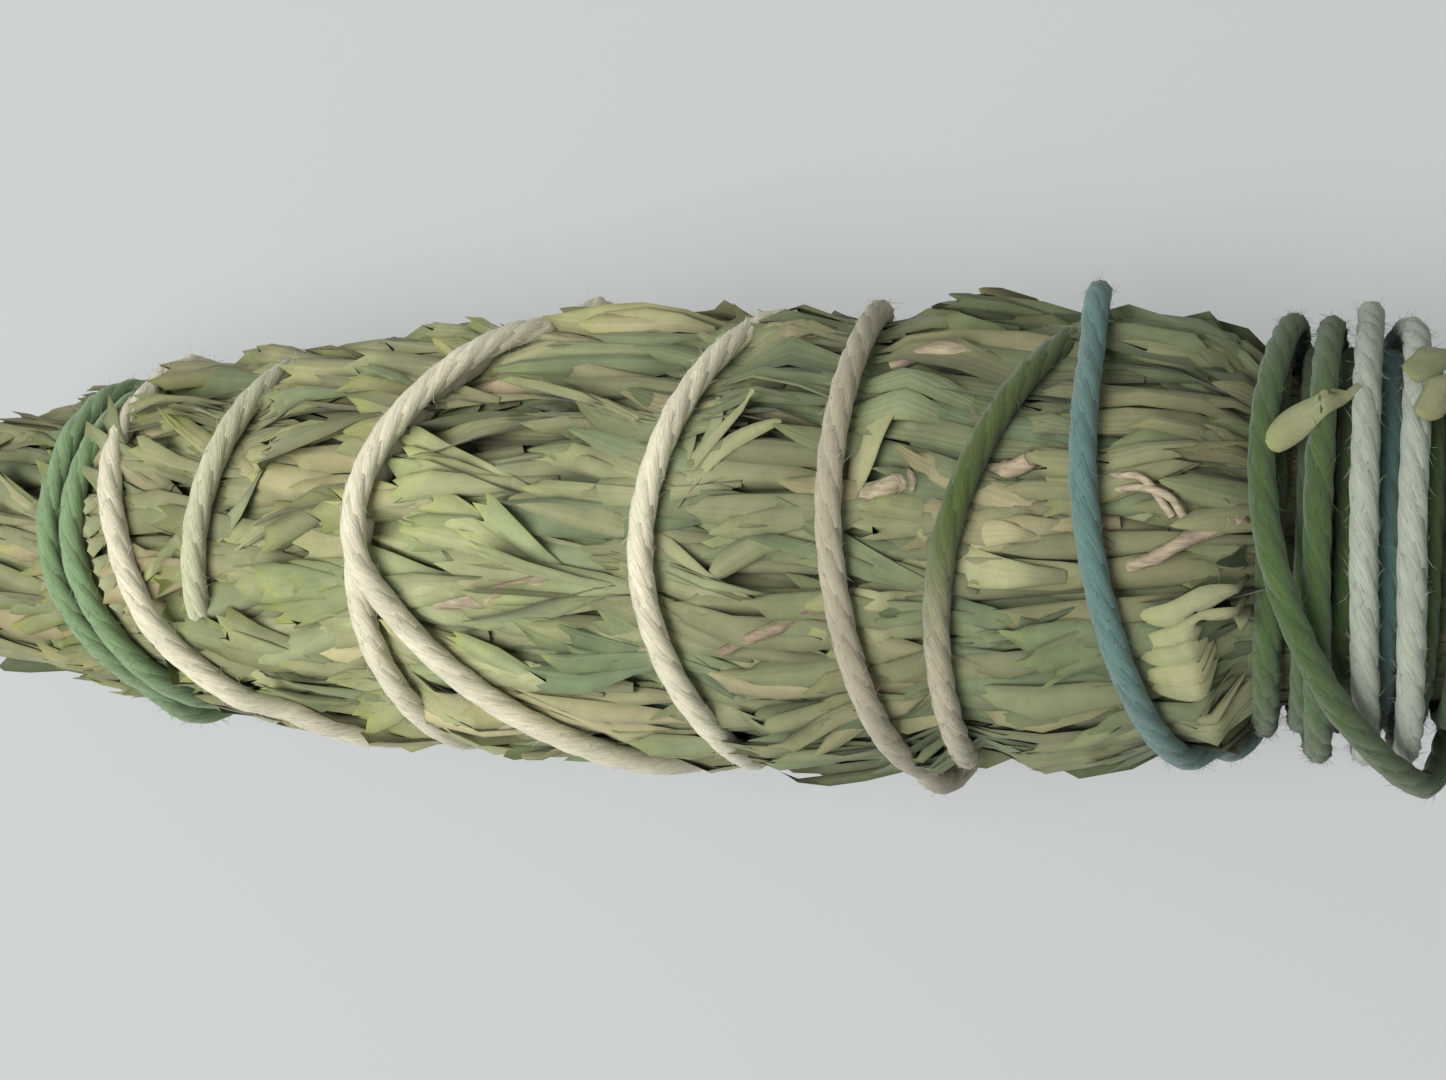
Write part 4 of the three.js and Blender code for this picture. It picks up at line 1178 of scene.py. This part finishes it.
# Leaves and twiglets that catch the eye in the photograph, each given by the place and the angle in
# degrees of its root and its tip. They lie over their neighbours, and some over the yarn.
# Each leaf has a root, a tip, a width, how far the tip stands up, a form and a tone.
STANDOUT_LEAVES = [
    ((0.0181, 84), (0.0207, 55), 0.0026, 0.0005, 30, 0.62),
    ((0.0296, 60), (0.0166, 53), 0.0034, 0.0014, 31, 0.35),
    ((0.0316, 55), (0.0186, 45), 0.003, 0.0008, 32, 0.3),
    ((0.0003, 86), (0.0054, 52), 0.0021, 0.0004, 28, 0.5),
    ((0.0015, 86), (0.0067, 53), 0.0021, 0.0006, 29, 0.4),
    ((0.0027, 82), (0.0079, 56), 0.0019, 0.0004, 28, 0.55),
    ((0.0037, 77), (0.0092, 57), 0.0018, 0.0003, 29, 0.35),
    ((0.0355, 90), (0.0245, 87), 0.0028, 0.0015, 26, 0.72),
    ((0.0376, 99), (0.0262, 97), 0.0044, 0.0011, 3, 0.6),
    ((0.0261, 105), (0.0147, 102), 0.0024, 0.0015, 31, 0.6),
    ((0.0228, 112), (0.015, 116), 0.0034, 0.0012, 0, 0.55),
    ((0.0528, 101), (0.0436, 108), 0.0023, 0.0009, 26, 0.5),
    ((0.0528, 106), (0.0434, 114.5), 0.0024, 0.0011, 32, 0.58),
    ((0.0532, 111), (0.0433, 120), 0.0025, 0.0011, 26, 0.5),
    ((0.0536, 115), (0.0434, 125.5), 0.0028, 0.0014, 32, 0.66),
    ((0.0533, 120), (0.0442, 131), 0.0026, 0.001, 26, 0.55),
    ((-0.0440, 57), (-0.0472, 104), 0.0022, 0.0008, 28, 0.45),
    ((-0.0397, 70), (-0.0455, 103), 0.0022, 0.0004, 28, 0.4),
    ((-0.058, 74), (-0.0622, 84), 0.0019, 0.0008, 30, 0.5),
    ((-0.0574, 81), (-0.0616, 92), 0.002, 0.0008, 30, 0.42),
    ((-0.0572, 88), (-0.0614, 101), 0.002, 0.0009, 30, 0.55),
    ((-0.0562, 94), (-0.061, 108), 0.0021, 0.0008, 30, 0.45),
    ((-0.0552, 99), (-0.0602, 114), 0.0021, 0.0009, 30, 0.52),
    ((-0.0543, 105), (-0.0592, 121), 0.0022, 0.0008, 30, 0.4),
]
OVER_YARN_LEAVES = [
    ((0.0618, 50), (0.0532, 64), 0.0031, 0.0016, 31, 0.5),
    ((0.0702, 32), (0.0648, 46), 0.003, 0.0014, 32, 0.42),
    ((0.0702, 42), (0.066, 60), 0.0026, 0.0012, 26, 0.5),
]
OVER_YARN_DEPTH = 0.0012
STANDOUT_DEPTH = 0.0004
STANDOUT_SHADE = 0.86


def standout(draw, leaf, depth):
    """A leaf laid from its root to its tip, whichever way that is."""
    (root_x, root_angle), (tip_x, tip_angle), width, lift, form, tone = leaf
    turned = math.radians(tip_angle - root_angle) - float(wander(tip_x) - wander(root_x))
    across = turned * float(outline((root_x + tip_x) / 2))
    return dict(
        x=root_x, angle=math.radians(root_angle), length=math.hypot(root_x - tip_x, across),
        width=width, depth=depth, tip_depth=depth - lift,
        yaw=math.atan2(across, root_x - tip_x), roll=draw.normal(0, 0.15), tone=tone,
        shade=STANDOUT_SHADE, fresh=0.5, form=form)


# Each twiglet has marks of place, angle and depth, a thickness, a number of knots and a tone.
TWIGLETS = [
    ([(0.0508, 86, 0.0012), (0.0528, 84.5, 0.0014), (0.0545, 84, 0.003)], 0.0006, 1, 0.65),
    ([(0.0478, 86, 0.0014), (0.0465, 80, 0.0002), (0.0433, 77.5, 0.0002), (0.0403, 77, 0.0022)],
     0.0004, 0, 0.95),
    ([(0.0465, 84, 0.0016), (0.0447, 77, 0.0004), (0.0433, 74.5, 0.0004), (0.0403, 73, 0.0022)],
     0.0004, 0, 0.95),
    ([(0.0345, 70, 0.0014), (0.0315, 71.5, 0.0009), (0.0285, 73, 0.0022)], 0.0009, 2, 0.7),
    ([(0.0156, 107, 0.0012), (0.0113, 111, 0.0008), (0.0065, 118, 0.0018)], 0.0006, 2, 0.2),
    ([(-0.0055, 101, 0.0018), (-0.0095, 105, 0.0009), (-0.0135, 110, 0.002)], 0.0005, 2, 0.8),
]


def in_sprig(root, low, high):
    """Whether a root, given by its place along the stick and its angle in degrees, is in a sprig."""
    x, degrees = root[:2]
    return low <= (math.radians(degrees) - float(wander(x))) % TURN < high


def heart_surface(x):
    return np.minimum(HEART_RADIUS, np.maximum(outline(x) - HEART_DEPTH, 0.001))


def clear_of_heart(x):
    return heart_surface(x) * CLEAR_OF_HEART


def mass_surface(x):
    return outline(x) - (MASS_DEPTH + (BOUND_DEPTH - MASS_DEPTH) * bound(x))


def spread_over(draw, low, high, rows, pitch, spacing):
    """Loose rows of places round a sprig's share of the bunch, from the stems to the tip."""
    x = rows[0] - draw.uniform(0, 1) * pitch(rows[0])
    while x > rows[1]:
        room = (high - low) * float(outline(x))
        across = max(1, round(room / spacing))
        for k in range(across):
            share = (k + 0.5 + draw.uniform(-0.2, 0.2)) / across
            place_x = x + draw.uniform(-0.5, 0.5) * pitch(x)
            yield place_x, low + (high - low) * share + float(wander(place_x))
        x -= pitch(x)


def lining_pitch(x):
    return LINING_PITCH


def row_pitch(x):
    return ROW_PITCH + (STRAP_ROW_PITCH - ROW_PITCH) * near_butt(x)


def fan_pitch(x):
    return FAN_PITCH * (1 + 0.45 * near_butt(x))


for i in range(OUTER_SPRIGS):
    draw = np.random.default_rng(500 + i)
    low, high = sprig_edges[i], sprig_edges[i + 1]
    side = (-1) ** i
    leaves = [lining_leaf(draw, x, angle, side)
              for x, angle in spread_over(draw, low, high, LINING_ROWS, lining_pitch, LINING_SPACING)]
    leaves += [laid_leaf(draw, x, angle, side)
               for x, angle in spread_over(draw, low, high, LAID_ROWS, row_pitch, ROW_SPACING)]
    for x, angle in spread_over(draw, low, high, FAN_ROWS, fan_pitch, FAN_SPACING):
        leaves += fan_leaves(draw, x, angle, side)
    for angle in np.linspace(low, high, BACKWARD_LEAVES, endpoint=False):
        leaves.append(backward_leaf(draw, float(angle), BACKWARD_DEPTHS, BACKWARD_WIDTH))
    leaves += [standout(draw, leaf, STANDOUT_DEPTH) for leaf in STANDOUT_LEAVES
               if in_sprig(leaf[0], low, high)]
    stray = [standout(draw, leaf, OVER_YARN_DEPTH) for leaf in OVER_YARN_LEAVES
             if in_sprig(leaf[0], low, high)]
    core = packed_core(low, high, clear_of_heart, mass_surface, SPRIG_CORE)
    parts = [foliage("leafage", leaves, sagebrush), core]
    if stray:
        parts.append(foliage("stray", stray, sagebrush, True))
    for marks, thickness, knots, tone in TWIGLETS:
        if in_sprig(marks[0], low, high):
            path = stalk_path(draw, marks, thickness, knots, TWIGLET_TAPER)
            parts.append(stalk_piece("twiglet", *path, tone))
    sprig = joined(f"sprig_{i + 1:02d}_foliage", parts)
    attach(sprig, "root")
    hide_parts(f"sprig_{i + 1:02d}_leaves")

# The sprigs at the heart of the bunch, of the same dried sagebrush. The sprigs round them hold them, and
# they are packed so tightly that leaves only show at the tip and between the cut stems.
HEART_SPRIGS = 3
HEART_ROWS = (-0.066, -0.079)
HEART_CORE = np.linspace(0.081, -0.079, 12)
HEART_CLEARANCE = 0.0004
HEART_TURNED = 0.4
HEART_HOLLOW = 0.0006
HEART_LEAF_DEPTHS = {"depth": 0.0056, "tip_depth": 0.0048}
HEART_BACKWARD_LEAVES = 8
HEART_BACKWARD_DEPTHS = (0.0112, 0.0172)
HEART_BACKWARD_WIDTH = 0.009

for i in range(HEART_SPRIGS):
    draw = np.random.default_rng(700 + i)
    low = HEART_TURNED + i * TURN / HEART_SPRIGS
    high = low + TURN / HEART_SPRIGS
    leaves = []
    for x, angle in spread_over(draw, low, high, HEART_ROWS, lining_pitch, LINING_SPACING):
        leaves.append({**lining_leaf(draw, x, angle, 1), **HEART_LEAF_DEPTHS})
    for angle in np.linspace(low, high, HEART_BACKWARD_LEAVES, endpoint=False):
        leaves.append(backward_leaf(draw, float(angle), HEART_BACKWARD_DEPTHS, HEART_BACKWARD_WIDTH))
    core = packed_core(low, high, lambda x: HEART_HOLLOW, lambda x: heart_surface(x) - HEART_CLEARANCE,
                       HEART_CORE)
    sprig = joined(f"heart_sprig_{i + 1}_foliage", [foliage("leafage", leaves, sagebrush), core])
    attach(sprig, "root")
    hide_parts(f"heart_sprig_{i + 1}_leaves")

# The woody stems: grey-brown furrowed bark over pale wood with a soft pith, cut off square past the
# binding. Each runs inside its sprig and thins towards the tip, where the leaves hide it.
STEM_RING_RADIUS = 0.0126
HEART_STEM_RADIUS = 0.0046
STEM_THIN_X = -0.04
STEM_THINNING = 0.55
OUTER_STEM_THICKNESS = 0.0017
HEART_STEM_THICKNESS = 0.0015
STEM_STOPS = 40
STEM_WAVE, STEM_WAVE_LENGTH = 0.04, 0.003

stems = [(f"sprig_{i + 1:02d}_stem", (sprig_edges[i] + sprig_edges[i + 1]) / 2, STEM_RING_RADIUS,
          OUTER_STEM_THICKNESS) for i in range(OUTER_SPRIGS)]
stems += [(f"heart_sprig_{i + 1}_stem", HEART_TURNED + (i + 0.5) * TURN / HEART_SPRIGS, HEART_STEM_RADIUS,
           HEART_STEM_THICKNESS) for i in range(HEART_SPRIGS)]
for number, (name, angle, ring_radius, thickness) in enumerate(stems):
    draw = np.random.default_rng(900 + number)
    cut_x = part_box(name)[1].x
    x = np.linspace(cut_x, STEM_THIN_X, STEM_STOPS)
    share = (x - STEM_THIN_X) / (STEM_END_X - STEM_THIN_X)
    thick = thickness * (STEM_THINNING + (1 - STEM_THINNING) * np.clip(share, 0, 1))
    thick = thick * (1 + STEM_WAVE * np.sin(x / STEM_WAVE_LENGTH + draw.uniform(0, TURN)))
    points = at(x, angle + wander(x), ring_radius)
    piece = stalk_piece(name + "_bark", points, thick, draw.uniform(0.1, 0.5))
    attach(piece, "root")
    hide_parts(name)

# Bare twigs of the same wood, with swollen leaf scars. They lie on top of the leaves between two turns of
# the yarn, and are held only where their ends are caught among the leaves.
BARE_TWIGS = [
    ((-0.021, 107), (-0.007, 99.5), 0.8, 0.001),
    ((0.021, 40), (0.0305, 34), 0.75, 0.0008),
    ((0.0198, 79), (0.026, 74.5), 0.85, 0.00105),
    ((0.0428, 97), (0.0508, 86), 0.6, 0.0007),
]
TWIG_DEPTH = 0.0009
TWIG_SAG = 0.0011
TWIG_KNOTS = 3
TWIG_TAPER = 0.8

for i, ((from_x, from_angle), (to_x, to_angle), tone, thickness) in enumerate(BARE_TWIGS):
    draw = np.random.default_rng(950 + i)
    middle = ((from_x + to_x) / 2, (from_angle + to_angle) / 2, TWIG_DEPTH)
    marks = [(to_x, to_angle, TWIG_DEPTH + TWIG_SAG), middle, (from_x, from_angle, TWIG_DEPTH + TWIG_SAG)]
    path = stalk_path(draw, marks, thickness, TWIG_KNOTS, TWIG_TAPER)
    piece = stalk_piece(f"bare_twig_{i + 1}_bark", *path, tone)
    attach(piece, "root")
    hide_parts(f"bare_twig_{i + 1}")
